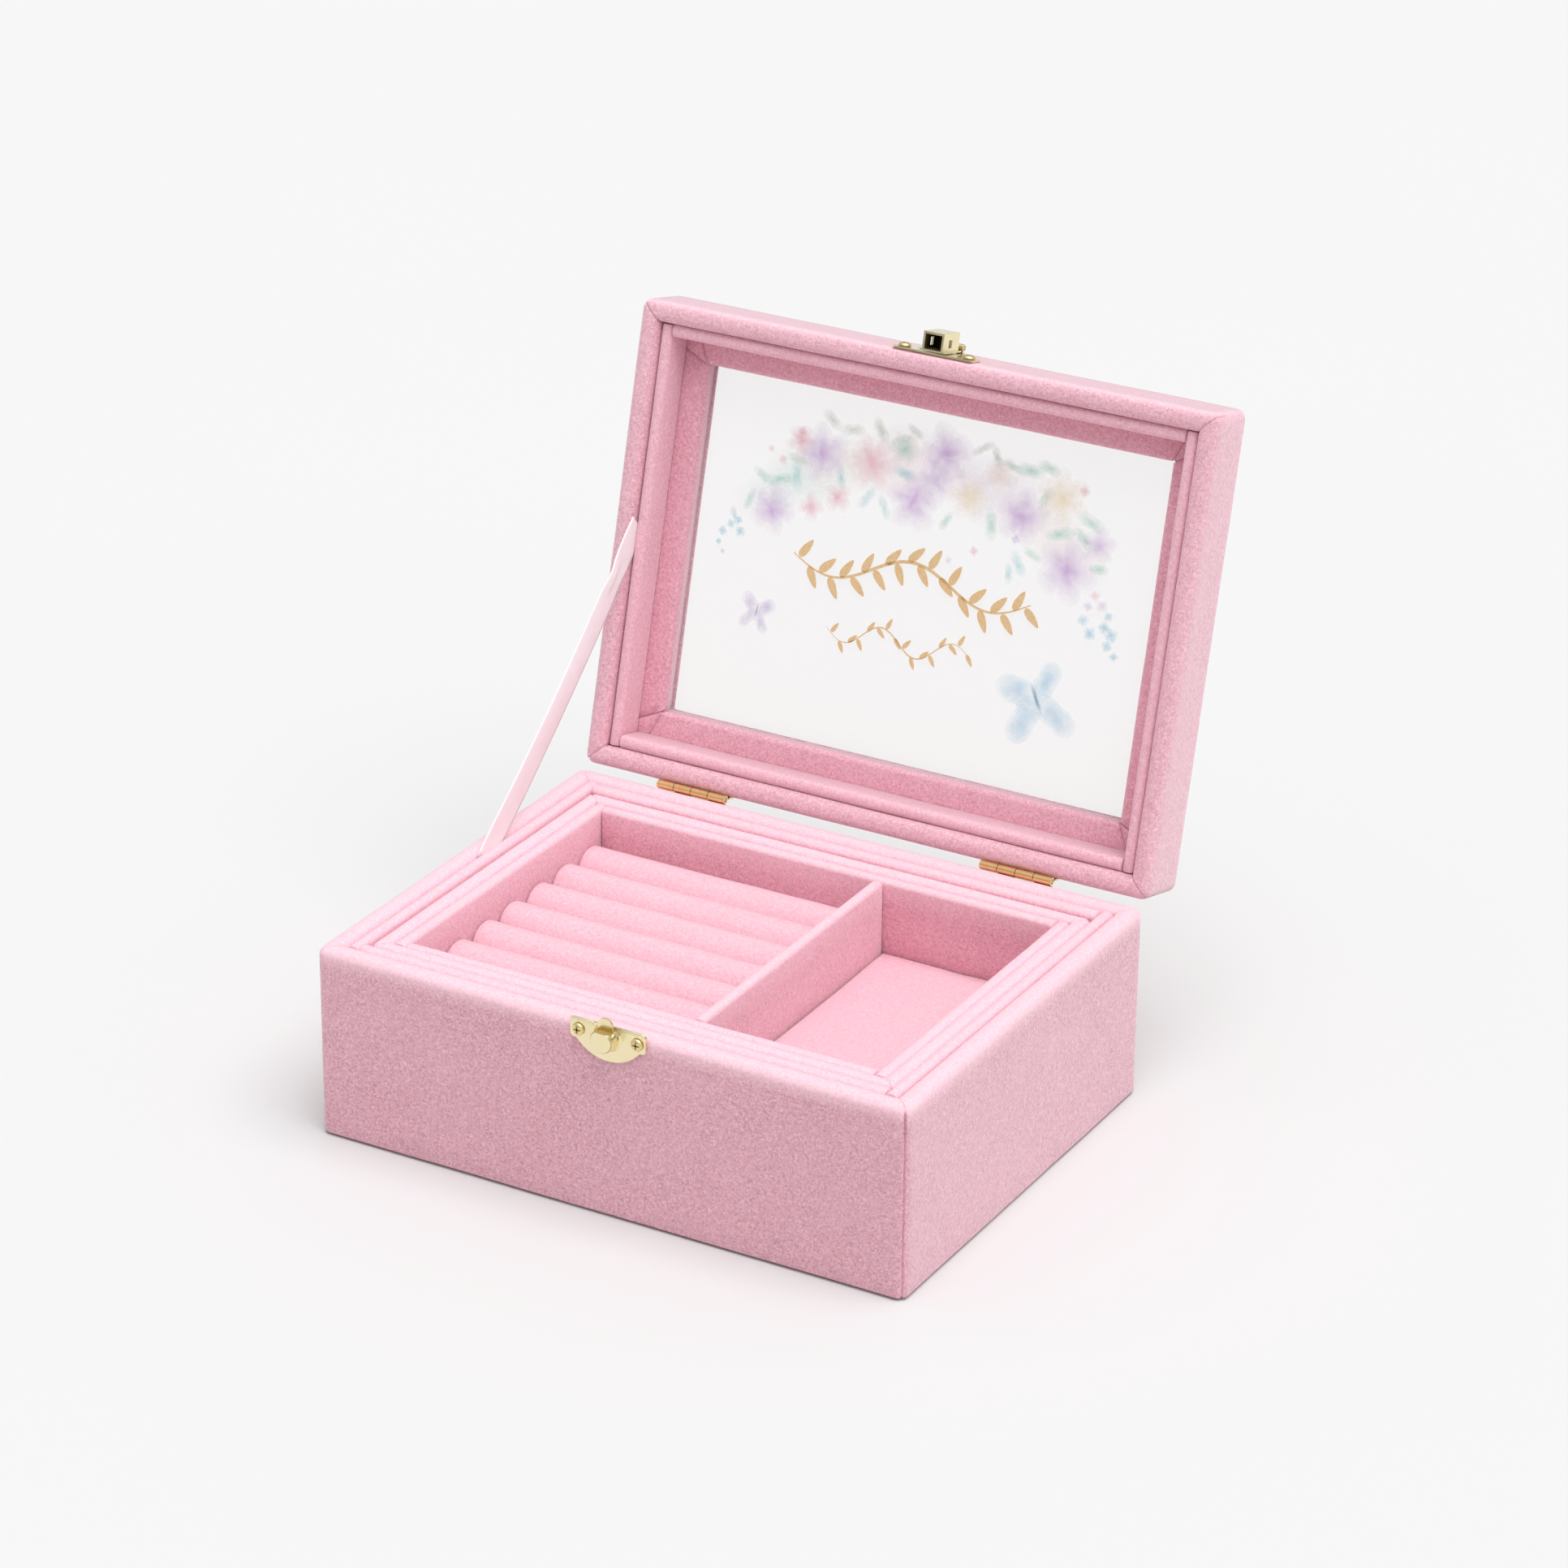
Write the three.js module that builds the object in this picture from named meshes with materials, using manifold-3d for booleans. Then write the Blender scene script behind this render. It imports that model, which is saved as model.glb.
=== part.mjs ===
// Jewelry box: a velvet-wrapped base with a lift-out tray, and a hinged lid with a glass window.
// Millimetres, +Z up, X along the front from left to right, Y from front to back.
// The origin is the centre of the underside. The lid is drawn at its stop, leaning back.
import * as THREE from 'three';
import { mergeVertices } from 'three/addons/utils/BufferGeometryUtils.js';
import Module from 'manifold-3d';

// Outside of the box
const BOX_W = 220;
const BOX_D = 165;
const BASE_H = 69;
const LID_GAP = 0.6;
const LID_T = 24;
const WALL_T = 7.3;
const CORNER_R = 3.5;
const RIM_R = 3;
const LOOSE = 0.3;

// Lid hinge: its axis lies just behind the back face, halfway up the lid gap
const HINGE_Y = BOX_D / 2 + 0.8;
const HINGE_Z = BASE_H + LID_GAP / 2;
const OPEN_DEG = 104.3;
const HINGE_XS = [-65.2, 61.6];
const HINGE_LEN = 27.2;
const KNUCKLES = 4;
const BARREL_R = 1.5;
const BORE_R = 0.85;
const PIN_R = 0.55;
const LEAF_T = 0.6;
const LEAF_H = 9;

// Lining of the base
const SHEET_T = 0.5;
const BOARD_T = 3;
const SLIT = 0.7;
const LINER_SIDE_T = 3.9;
const LINER_END_T = 5.1;
const LINER_TOP = 68.4;
const PAD_T = 2;
const LEDGE_T = 4;

// Lift-out tray
const TRAY_W = 195.2;
const TRAY_D = 138.4;
const TRAY_Z = 36;
const TRAY_TOP = 67.5;
const TRAY_WALL_T = 5.6;
const TRAY_BOARD_T = 2;
const LINING_T = 4;
const LINING_TOP = 66.9;
const DIVIDER_X0 = 19.6;
const DIVIDER_X1 = 23.8;
const DIVIDER_TOP = 66.7;
const ROLLS = 7;
const ROLL_TOP = 56.1;

// Lid
const RIM_Z = BASE_H + LID_GAP;
const LID_TOP = RIM_Z + LID_T;
const LID_LINER_STEP = 2.5;
const FRAME_Z0 = RIM_Z + 15.1;
const FRAME_Z1 = RIM_Z + 20.8;
const PANE_Z0 = RIM_Z + 21.1;
const PANE_Z1 = RIM_Z + 22.4;
const TOP_Z0 = RIM_Z + 22.7;
const WINDOW_MARGIN = 20.8;
const PANE_LAP = 5;

// Latch
const LATCH_X = 2.6;
const PLATE_T = 0.8;
const PLATE_HALF = 14;
const HASP_HALF = 15.4;
const EAR_H = 7;
const PLATE_R = 15;
const PLATE_TOP = 70.2;
const SCREW_X = 10.9;
const HASP_SCREW_X = 12.2;
const SCREW_Z = 66.3;
const SCREW_HEAD_R = 2.2;
const SCREW_HOLE_R = 1.2;
const NOSE_Z = 66.3;
const NOSE_CUT_Z = 69.3;
const HASP_T = 0.6;
const HASP_Z0 = RIM_Z + 1.3;
const HASP_SCREW_Z = RIM_Z + 5;
const FLAP_AXIS_Y = -85;
const FLAP_AXIS_Z = 85.3;
const FLAP_R = 1.3;

// Ribbon stay on the left side
const RIBBON_W = 11;
const RIBBON_T = 0.3;
const RIBBON_FROM = [12.3, 69];
const RIBBON_TO = [103.7, 148];
const RIBBON_TUCK = 7;
const RIBBON_SAG = 2.4;

const VELVET = 0xe3a9bb;
const VELVET_LIGHT = 0xf3c7d3;
const CARD = 0xb8a489;
const BRASS = 0xd9bf78;
const HINGE_BRASS = 0xd39a45;
const SATIN = 0xfbe6ee;
const PAPER = 0xd9b6c0;
const GLASS = 0xeef4f2;

const wasm = await Module();
wasm.setup();

const FRONT_Y = -BOX_D / 2;
const WALL_IN_X = BOX_W / 2 - WALL_T;
const WALL_IN_Y = BOX_D / 2 - WALL_T;
const LINER_OUT_X = WALL_IN_X - SLIT;
const LINER_OUT_Y = WALL_IN_Y - LOOSE;
const LINER_IN_X = LINER_OUT_X - LINER_SIDE_T;
const LINER_IN_Y = LINER_OUT_Y - LINER_END_T;

// ---------- solids ----------

function toSolid(geometry) {
  const bare = new THREE.BufferGeometry();
  bare.setAttribute('position', geometry.getAttribute('position').clone());
  if (geometry.index) bare.setIndex(geometry.index.clone());
  const merged = mergeVertices(bare, 1e-4);
  const vertProperties = new Float32Array(merged.getAttribute('position').array);
  const triVerts = new Uint32Array(merged.index.array);
  return new wasm.Manifold(new wasm.Mesh({ numProp: 3, vertProperties, triVerts }));
}

function toGeometry(solid) {
  const mesh = solid.getMesh();
  const geometry = new THREE.BufferGeometry();
  const corners = new Float32Array(mesh.vertProperties);
  geometry.setAttribute('position', new THREE.BufferAttribute(corners, 3));
  geometry.setIndex(new THREE.BufferAttribute(new Uint32Array(mesh.triVerts), 1));
  geometry.computeVertexNormals();
  return geometry;
}

function join(...pieces) {
  return toGeometry(pieces.map(toSolid).reduce((a, b) => a.add(b)));
}

function cut(piece, ...tools) {
  return toGeometry(tools.map(toSolid).reduce((a, b) => a.subtract(b), toSolid(piece)));
}

function keepInside(piece, tool) {
  return toGeometry(toSolid(piece).intersect(toSolid(tool)));
}

function block(x0, x1, y0, y1, z0, z1) {
  const geometry = new THREE.BoxGeometry(x1 - x0, y1 - y0, z1 - z0);
  return geometry.translate((x0 + x1) / 2, (y0 + y1) / 2, (z0 + z1) / 2);
}

function rodX(x0, x1, y, z, radius, sides = 24) {
  const geometry = new THREE.CylinderGeometry(radius, radius, x1 - x0, sides);
  return geometry.rotateZ(Math.PI / 2).translate((x0 + x1) / 2, y, z);
}

function rodY(x, y0, y1, z, radius, sides = 24) {
  const geometry = new THREE.CylinderGeometry(radius, radius, y1 - y0, sides);
  return geometry.translate(x, (y0 + y1) / 2, z);
}

function roundedRect(x0, x1, y0, y1, r, path = new THREE.Shape()) {
  path.moveTo(x0 + r, y0);
  path.lineTo(x1 - r, y0);
  path.absarc(x1 - r, y0 + r, r, -Math.PI / 2, 0, false);
  path.lineTo(x1, y1 - r);
  path.absarc(x1 - r, y1 - r, r, 0, Math.PI / 2, false);
  path.lineTo(x0 + r, y1);
  path.absarc(x0 + r, y1 - r, r, Math.PI / 2, Math.PI, false);
  path.lineTo(x0, y0 + r);
  path.absarc(x0 + r, y0 + r, r, Math.PI, Math.PI * 1.5, false);
  return path;
}

// A flat board with soft edges, optionally with a window through it
function board(x, y, z0, z1, corner, soft, hole = null) {
  const shape = roundedRect(-x + soft, x - soft, -y + soft, y - soft, corner);
  if (hole) {
    shape.holes.push(roundedRect(-hole[0] - soft, hole[0] + soft, -hole[1] - soft, hole[1] + soft,
      1 + soft, new THREE.Path()));
  }
  const geometry = new THREE.ExtrudeGeometry(shape, {
    depth: z1 - z0 - 2 * soft,
    bevelEnabled: soft > 0,
    bevelSize: soft,
    bevelThickness: soft,
    bevelSegments: 3,
    curveSegments: 6,
  });
  return geometry.translate(0, 0, z0 + soft);
}

// Section of a wall: thickness along u, height along v, each corner with its own radius
function wallSection(t, z0, z1, radii) {
  const [bottomOut, bottomIn, topIn, topOut] = radii;
  const shape = new THREE.Shape();
  shape.moveTo(bottomOut, z0);
  shape.lineTo(t - bottomIn, z0);
  if (bottomIn > 0) shape.absarc(t - bottomIn, z0 + bottomIn, bottomIn, -Math.PI / 2, 0, false);
  shape.lineTo(t, z1 - topIn);
  if (topIn > 0) shape.absarc(t - topIn, z1 - topIn, topIn, 0, Math.PI / 2, false);
  shape.lineTo(topOut, z1);
  if (topOut > 0) shape.absarc(topOut, z1 - topOut, topOut, Math.PI / 2, Math.PI, false);
  shape.lineTo(0, z0 + bottomOut);
  if (bottomOut > 0) {
    shape.absarc(bottomOut, z0 + bottomOut, bottomOut, Math.PI, Math.PI * 1.5, false);
  }
  return shape;
}

// A bar along X with its outer face on y = 0; mitre 1 cuts the ends at 45 degrees, 0 leaves them square
function bar(length, t, z0, z1, radii, mitre) {
  const shape = wallSection(t, z0, z1, radii);
  const geometry = new THREE.ExtrudeGeometry(shape, { depth: 1, bevelEnabled: false, curveSegments: 5 });
  const position = geometry.getAttribute('position');
  for (let i = 0; i < position.count; i += 1) {
    const depth = position.getX(i);
    const z = position.getY(i);
    const side = position.getZ(i) > 0.5 ? 1 : -1;
    position.setXYZ(i, side * (length / 2 - mitre * depth - LOOSE / 2), depth, z);
  }
  return geometry;
}

// Turn a bar so that its outer face lies on one of the four sides of a w by d ring
function onSide(geometry, side, w, d) {
  if (side === 'front') return geometry.translate(0, -d / 2, 0);
  if (side === 'back') return geometry.rotateZ(Math.PI).translate(0, d / 2, 0);
  if (side === 'right') return geometry.rotateZ(Math.PI / 2).translate(w / 2, 0, 0);
  return geometry.rotateZ(-Math.PI / 2).translate(-w / 2, 0, 0);
}

const SIDES = ['front', 'back', 'left', 'right'];

function lengthOf(side, w, d) {
  return side === 'front' || side === 'back' ? w : d;
}

// Four mitred walls with rounded outside corners
function wallRing(w, d, t, z0, z1, radii, corner) {
  const walls = {};
  const column = board(w / 2, d / 2, z0 - 1, z1 + 1, corner, 0);
  for (const side of SIDES) {
    const wall = onSide(bar(lengthOf(side, w, d), t, z0, z1, radii, 1), side, w, d);
    walls[side] = keepInside(wall, column);
  }
  return walls;
}

// Four lining strips: the side strips run the whole depth, the end strips fit between them
function liningRing(w, d, sideT, endT, z0, z1, radii) {
  const strips = {};
  for (const side of SIDES) {
    const isEnd = side === 'front' || side === 'back';
    const length = isEnd ? w - 2 * sideT - LOOSE : d;
    const strip = bar(length, isEnd ? endT : sideT, z0, z1, radii, 0);
    strips[side] = onSide(strip, side, w, d);
  }
  return strips;
}

// ---------- nodes ----------

const part = new THREE.Group();
part.name = 'jewelry_box';

const lid = new THREE.Group();
lid.name = 'lid_group';
lid.position.set(0, HINGE_Y, HINGE_Z);
lid.rotation.x = -THREE.MathUtils.degToRad(OPEN_DEG);
part.add(lid);

function addTo(group, name, geometry, color, metalness = 0, roughness = 0.9) {
  if (group === lid) geometry.translate(0, -HINGE_Y, -HINGE_Z);
  const material = new THREE.MeshStandardMaterial({ color, metalness, roughness });
  const mesh = new THREE.Mesh(geometry, material);
  mesh.name = name;
  group.add(mesh);
}

function addBase() {
  const z0 = SHEET_T + LOOSE;
  const walls = wallRing(BOX_W, BOX_D, WALL_T, z0, BASE_H, [RIM_R, 0, 2.2, RIM_R], CORNER_R);
  walls.front = cut(walls.front, ...[-1, 1].map((s) => screwHole(LATCH_X + s * SCREW_X, SCREW_Z)));
  for (const side of SIDES) addTo(part, `base_${side}_wall`, walls[side], VELVET);
  addTo(part, 'base_underside_sheet', board(106, 78.5, 0, SHEET_T, 2, 0), PAPER);
  const floorTop = z0 + BOARD_T;
  addTo(part, 'base_floor_board',
    board(WALL_IN_X - LOOSE, WALL_IN_Y - LOOSE, z0, floorTop, 1, 0), CARD);
  const liners = liningRing(2 * LINER_OUT_X, 2 * LINER_OUT_Y, LINER_SIDE_T, LINER_END_T,
    floorTop + LOOSE, LINER_TOP, [0.4, 0.4, 1.8, 1.6]);
  for (const side of SIDES) addTo(part, `base_liner_${side}`, liners[side], VELVET_LIGHT);
  const ledgeX = LINER_IN_X - LOOSE;
  for (const [name, s] of [['left', -1], ['right', 1]]) {
    const outer = s * ledgeX;
    const inner = s * (ledgeX - LEDGE_T);
    const ledge = block(Math.min(outer, inner), Math.max(outer, inner), -LINER_IN_Y + LOOSE,
      LINER_IN_Y - LOOSE, floorTop + LOOSE, TRAY_Z - LOOSE);
    addTo(part, `tray_ledge_${name}`, ledge, VELVET);
  }
  const padX = ledgeX - LEDGE_T - LOOSE;
  addTo(part, 'base_floor_pad',
    board(padX, LINER_IN_Y - LOOSE, floorTop + LOOSE, floorTop + LOOSE + PAD_T, 1.5, 0.8), VELVET_LIGHT);
}

// A roll for rings: straight sides under a half-round top
function roll(x0, x1, y, z0, z1, radius) {
  const shape = new THREE.Shape();
  const soft = 1;
  shape.moveTo(-radius + soft, z0);
  shape.lineTo(radius - soft, z0);
  shape.absarc(radius - soft, z0 + soft, soft, -Math.PI / 2, 0, false);
  shape.lineTo(radius, z1 - radius);
  shape.absarc(0, z1 - radius, radius, 0, Math.PI, false);
  shape.lineTo(-radius, z0 + soft);
  shape.absarc(-radius + soft, z0 + soft, soft, Math.PI, Math.PI * 1.5, false);
  const geometry = new THREE.ExtrudeGeometry(shape, {
    depth: x1 - x0,
    bevelEnabled: false,
    curveSegments: 14,
  });
  return geometry.rotateX(Math.PI / 2).rotateZ(Math.PI / 2).translate(x0, y, 0);
}

function addTray() {
  const walls = wallRing(TRAY_W, TRAY_D, TRAY_WALL_T, TRAY_Z, TRAY_TOP, [1, 0, 1.6, 2.2], 2.4);
  for (const side of SIDES) addTo(part, `tray_${side}_wall`, walls[side], VELVET_LIGHT);
  const inX = TRAY_W / 2 - TRAY_WALL_T - LOOSE;
  const inY = TRAY_D / 2 - TRAY_WALL_T - LOOSE;
  const boardTop = TRAY_Z + TRAY_BOARD_T;
  addTo(part, 'tray_floor_board', board(inX, inY, TRAY_Z, boardTop, 1, 0), CARD);
  const z0 = boardTop + LOOSE;
  const linings = liningRing(2 * inX, 2 * inY, LINING_T, LINING_T, z0, LINING_TOP, [0.4, 0.4, 2, 1.2]);
  for (const side of SIDES) addTo(part, `tray_lining_${side}`, linings[side], VELVET_LIGHT);
  const roomX = inX - LINING_T - LOOSE;
  const roomY = inY - LINING_T - LOOSE;
  const divider = bar(2 * roomY, DIVIDER_X1 - DIVIDER_X0, z0, DIVIDER_TOP, [0.3, 0.3, 1.6, 1.6], 0);
  addTo(part, 'tray_divider',
    divider.rotateZ(Math.PI / 2).translate(DIVIDER_X1, 0, 0), VELVET_LIGHT);
  const padX0 = DIVIDER_X1 + LOOSE;
  const pad = board((roomX - padX0) / 2, roomY, z0, z0 + PAD_T, 1.5, 0.7);
  addTo(part, 'tray_floor_pad', pad.translate((roomX + padX0) / 2, 0, 0), VELVET);
  const pitch = (2 * roomY) / ROLLS;
  for (let i = 0; i < ROLLS; i += 1) {
    const y = -roomY + pitch * (i + 0.5);
    const shape = roll(-roomX, DIVIDER_X0 - LOOSE, y, z0, ROLL_TOP, pitch / 2 - LOOSE / 2);
    addTo(part, `ring_roll_${i + 1}`, shape, VELVET_LIGHT);
  }
}

function addLid() {
  const walls = wallRing(BOX_W, BOX_D, WALL_T, RIM_Z, LID_TOP, [RIM_R, 2.2, 0, RIM_R], CORNER_R);
  const haspHoles = [-1, 1].map((s) => screwHole(LATCH_X + s * HASP_SCREW_X, HASP_SCREW_Z));
  walls.front = cut(walls.front, ...haspHoles);
  for (const side of SIDES) addTo(lid, `lid_${side}_wall`, walls[side], VELVET);
  const liners = liningRing(2 * LINER_OUT_X, 2 * LINER_OUT_Y, LINER_SIDE_T, 4.3,
    RIM_Z + LID_LINER_STEP, FRAME_Z0 - LOOSE, [1.6, 1.8, 0.4, 0.4]);
  for (const side of SIDES) addTo(lid, `lid_liner_${side}`, liners[side], VELVET_LIGHT);
  const inX = WALL_IN_X - LOOSE;
  const inY = WALL_IN_Y - LOOSE;
  const hole = [BOX_W / 2 - WINDOW_MARGIN, BOX_D / 2 - WINDOW_MARGIN];
  addTo(lid, 'lid_inner_frame', board(inX, inY, FRAME_Z0, FRAME_Z1, 1, 2, hole), VELVET);
  addTo(lid, 'lid_outer_frame', board(inX, inY, TOP_Z0, LID_TOP, 1, 0.4, hole), VELVET);
  addTo(lid, 'window_pane',
    board(hole[0] + PANE_LAP, hole[1] + PANE_LAP, PANE_Z0, PANE_Z1, 1, 0.1), GLASS, 0, 0.05);
}

// One hinge leaf: a flat plate with the knuckles of one side, up = 1 for the lid and -1 for the base
function hingeLeaf(x, up) {
  const start = x - HINGE_LEN / 2;
  const pitch = HINGE_LEN / KNUCKLES;
  const y0 = BOX_D / 2 + LOOSE;
  const reach = BARREL_R + 0.35;
  const near = HINGE_Z + up * reach;
  const far = HINGE_Z + up * (reach + LEAF_H);
  const [low, high] = [Math.min(near, far), Math.max(near, far)];
  const pieces = [block(start, start + HINGE_LEN, y0, y0 + LEAF_T, low, high)];
  const firstOwn = up > 0 ? 0 : 1;
  for (let k = firstOwn; k < KNUCKLES; k += 2) {
    const x0 = start + k * pitch + 0.12;
    const x1 = start + (k + 1) * pitch - 0.12;
    pieces.push(rodX(x0, x1, HINGE_Y, HINGE_Z, BARREL_R));
    const root = HINGE_Z + up * 0.2;
    const tip = near + up * 0.5;
    pieces.push(block(x0, x1, y0, y0 + LEAF_T, Math.min(root, tip), Math.max(root, tip)));
  }
  const bore = rodX(start - 1, start + HINGE_LEN + 1, HINGE_Y, HINGE_Z, BORE_R);
  return cut(join(...pieces), bore);
}

function addHinges() {
  HINGE_XS.forEach((x, i) => {
    addTo(part, `hinge_base_leaf_${i + 1}`, hingeLeaf(x, -1), HINGE_BRASS, 1, 0.3);
    addTo(lid, `hinge_lid_leaf_${i + 1}`, hingeLeaf(x, 1), HINGE_BRASS, 1, 0.3);
    const pin = rodX(x - HINGE_LEN / 2 + 0.2, x + HINGE_LEN / 2 - 0.2, HINGE_Y, HINGE_Z, PIN_R, 16);
    addTo(part, `hinge_pin_${i + 1}`, pin, HINGE_BRASS, 1, 0.3);
  });
}

function screwHole(x, z) {
  return rodY(x, FRONT_Y - 2, FRONT_Y + 5.6, z, SCREW_HOLE_R, 16);
}

// A pan-head screw with a crossed recess, its head resting just in front of y = faceY
function screw(x, z, faceY) {
  const profile = [
    [0, -5.2],
    [0.5, -4.6],
    [0.85, -3.6],
    [0.85, 0.15],
    [SCREW_HEAD_R, 0.15],
    [SCREW_HEAD_R, 0.5],
    [SCREW_HEAD_R * 0.86, 0.9],
    [SCREW_HEAD_R * 0.5, 1.15],
    [0, 1.2],
  ].map(([r, y]) => new THREE.Vector2(r, y));
  const body = new THREE.LatheGeometry(profile, 28).rotateX(Math.PI);
  const slots = join(block(-1.25, 1.25, -2, -0.65, -0.3, 0.3), block(-0.3, 0.3, -2, -0.65, -1.25, 1.25));
  return cut(body, slots).translate(x, faceY, z);
}

// Half-moon plate with two ears, drawn in the front plane; up = -1 hangs the arc below the ears
function plateShape(half, earEdge, up, arcCentre) {
  const shape = new THREE.Shape();
  const earEnd = earEdge + up * EAR_H;
  const points = [];
  points.push([-half, earEdge + up * 1.2]);
  points.push([-half, earEnd - up * 1]);
  points.push([-half + 0.5, earEnd - up * 0.25]);
  points.push([-half + 1.2, earEnd]);
  const a0 = Math.asin(Math.min(1, Math.abs(earEnd - arcCentre) / PLATE_R));
  const steps = 22;
  for (let i = 0; i <= steps; i += 1) {
    const a = a0 + ((Math.PI - 2 * a0) * i) / steps;
    points.push([-PLATE_R * Math.cos(a), arcCentre + up * PLATE_R * Math.sin(a)]);
  }
  points.push([half - 1.2, earEnd]);
  points.push([half - 0.5, earEnd - up * 0.25]);
  points.push([half, earEnd - up * 1]);
  points.push([half, earEdge + up * 1.2]);
  points.push([half - 0.4, earEdge + up * 0.4]);
  points.push([half - 1.2, earEdge]);
  points.push([-half + 1.2, earEdge]);
  points.push([-half + 0.4, earEdge + up * 0.4]);
  points.forEach(([x, z], i) => (i === 0 ? shape.moveTo(x, z) : shape.lineTo(x, z)));
  shape.closePath();
  return shape;
}

// A plate on the front of the box: its outline, and the y where its hidden face lies
function frontPlate(shape, t, y) {
  const geometry = new THREE.ExtrudeGeometry(shape, { depth: t, bevelEnabled: false, curveSegments: 10 });
  return geometry.rotateX(Math.PI / 2).translate(LATCH_X, y, 0);
}

// A round form standing out of the catch plate, from radius and height points
function cup(points) {
  const profile = points.map(([r, height]) => new THREE.Vector2(r, height));
  const geometry = new THREE.LatheGeometry(profile, 36).rotateX(Math.PI);
  return geometry.translate(LATCH_X, FRONT_Y - LOOSE - PLATE_T, NOSE_Z);
}

// The holes for the two screws through a plate on the front
function plateHoles(reach, z) {
  const y0 = FRONT_Y - LOOSE;
  return [-1, 1].map((s) => rodY(LATCH_X + s * reach, y0 - 4, y0 + 1, z, SCREW_HOLE_R, 16));
}

// The half-moon catch plate, its round nose with an open top, and the tongue that rises out of the nose
function addCatch() {
  const y0 = FRONT_Y - LOOSE;
  const plate = frontPlate(plateShape(PLATE_HALF, PLATE_TOP, -1, PLATE_TOP + 2.3), PLATE_T, y0);
  const outer = cup([
    [0, -0.3], [5.2, -0.3], [5.2, 0.1], [4.6, 0.6], [4.3, 1.4], [4.1, 4.1], [3.7, 4.7], [0, 4.7],
  ]);
  const inner = cup([[0, 1.7], [3.2, 1.7], [3.2, 3.9], [0, 3.9]]);
  const shaft = block(LATCH_X - 3.2, LATCH_X + 3.2, y0 - PLATE_T - 3.9, y0 - PLATE_T - 1.7, NOSE_Z, 80);
  const above = block(LATCH_X - 8, LATCH_X + 8, y0 - PLATE_T - 9, y0, NOSE_CUT_Z, 80);
  const tongueShape = roundedRect(-2.7, 2.7, NOSE_Z - 1, 73.4, 2.3);
  const tongue = frontPlate(tongueShape, 0.7, y0 - PLATE_T - 1);
  const nose = join(cut(outer, above, inner, shaft), tongue);
  const whole = cut(join(plate, nose), ...plateHoles(SCREW_X, SCREW_Z));
  addTo(part, 'catch_plate', whole, BRASS, 1, 0.25);
  [-1, 1].forEach((s, i) => {
    const head = screw(LATCH_X + s * SCREW_X, SCREW_Z, y0 - PLATE_T);
    addTo(part, `catch_screw_${i + 1}`, head, BRASS, 1, 0.25);
  });
}

function addHasp() {
  const y0 = FRONT_Y - LOOSE;
  const plate = frontPlate(plateShape(HASP_HALF, HASP_Z0, 1, HASP_Z0), HASP_T, y0);
  const lug = (x0, x1) => join(
    rodX(x0, x1, FLAP_AXIS_Y, FLAP_AXIS_Z, FLAP_R, 20),
    block(x0, x1, FLAP_AXIS_Y + 0.2, y0 - 0.2, FLAP_AXIS_Z - 1, FLAP_AXIS_Z + 0.3),
  );
  const lugs = [lug(LATCH_X - 4.8, LATCH_X - 2.7), lug(LATCH_X + 2.7, LATCH_X + 4.8)];
  const bore = rodX(LATCH_X - 6, LATCH_X + 6, FLAP_AXIS_Y, FLAP_AXIS_Z, 0.75, 16);
  const drilled = cut(join(plate, ...lugs), bore, ...plateHoles(HASP_SCREW_X, HASP_SCREW_Z));
  addTo(lid, 'hasp_plate', drilled, BRASS, 1, 0.25);
  [-1, 1].forEach((s, i) => {
    const head = screw(LATCH_X + s * HASP_SCREW_X, HASP_SCREW_Z, y0 - HASP_T);
    addTo(lid, `hasp_screw_${i + 1}`, head, BRASS, 1, 0.25);
  });
  const pin = rodX(LATCH_X - 4.8, LATCH_X + 4.8, FLAP_AXIS_Y, FLAP_AXIS_Z, 0.45, 16);
  addTo(lid, 'hasp_pin', pin, BRASS, 1, 0.25);
}

// The flap: a narrow tongue plate carrying a box that is open towards the base
function addFlap() {
  const back = FRONT_Y - LOOSE - HASP_T - LOOSE;
  const x = LATCH_X;
  const plate = block(x - 4.6, x + 4.6, back - 0.6, back, HASP_Z0, FLAP_AXIS_Z - 1.65);
  const neck = block(x - 2.4, x + 2.4, back - 0.5, back, FLAP_AXIS_Z - 2, FLAP_AXIS_Z);
  const outer = block(x - 3.9, x + 3.9, back - 6.6, back - 0.3, HASP_Z0, HASP_Z0 + 11.6);
  const inner = block(x - 3.15, x + 3.15, back - 5.85, back - 0.6, HASP_Z0 - 1, HASP_Z0 + 10.85);
  const windows = block(x - 6, x + 6, back - 4.4, back - 1.6, HASP_Z0 + 4.2, HASP_Z0 + 6.4);
  const barrel = rodX(x - 2.4, x + 2.4, FLAP_AXIS_Y, FLAP_AXIS_Z, FLAP_R, 20);
  const bore = rodX(x - 4, x + 4, FLAP_AXIS_Y, FLAP_AXIS_Z, 0.75, 16);
  const shell = cut(outer, inner, windows);
  addTo(lid, 'hasp_flap', cut(join(plate, neck, shell, barrel), bore), BRASS, 1, 0.25);
}

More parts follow.
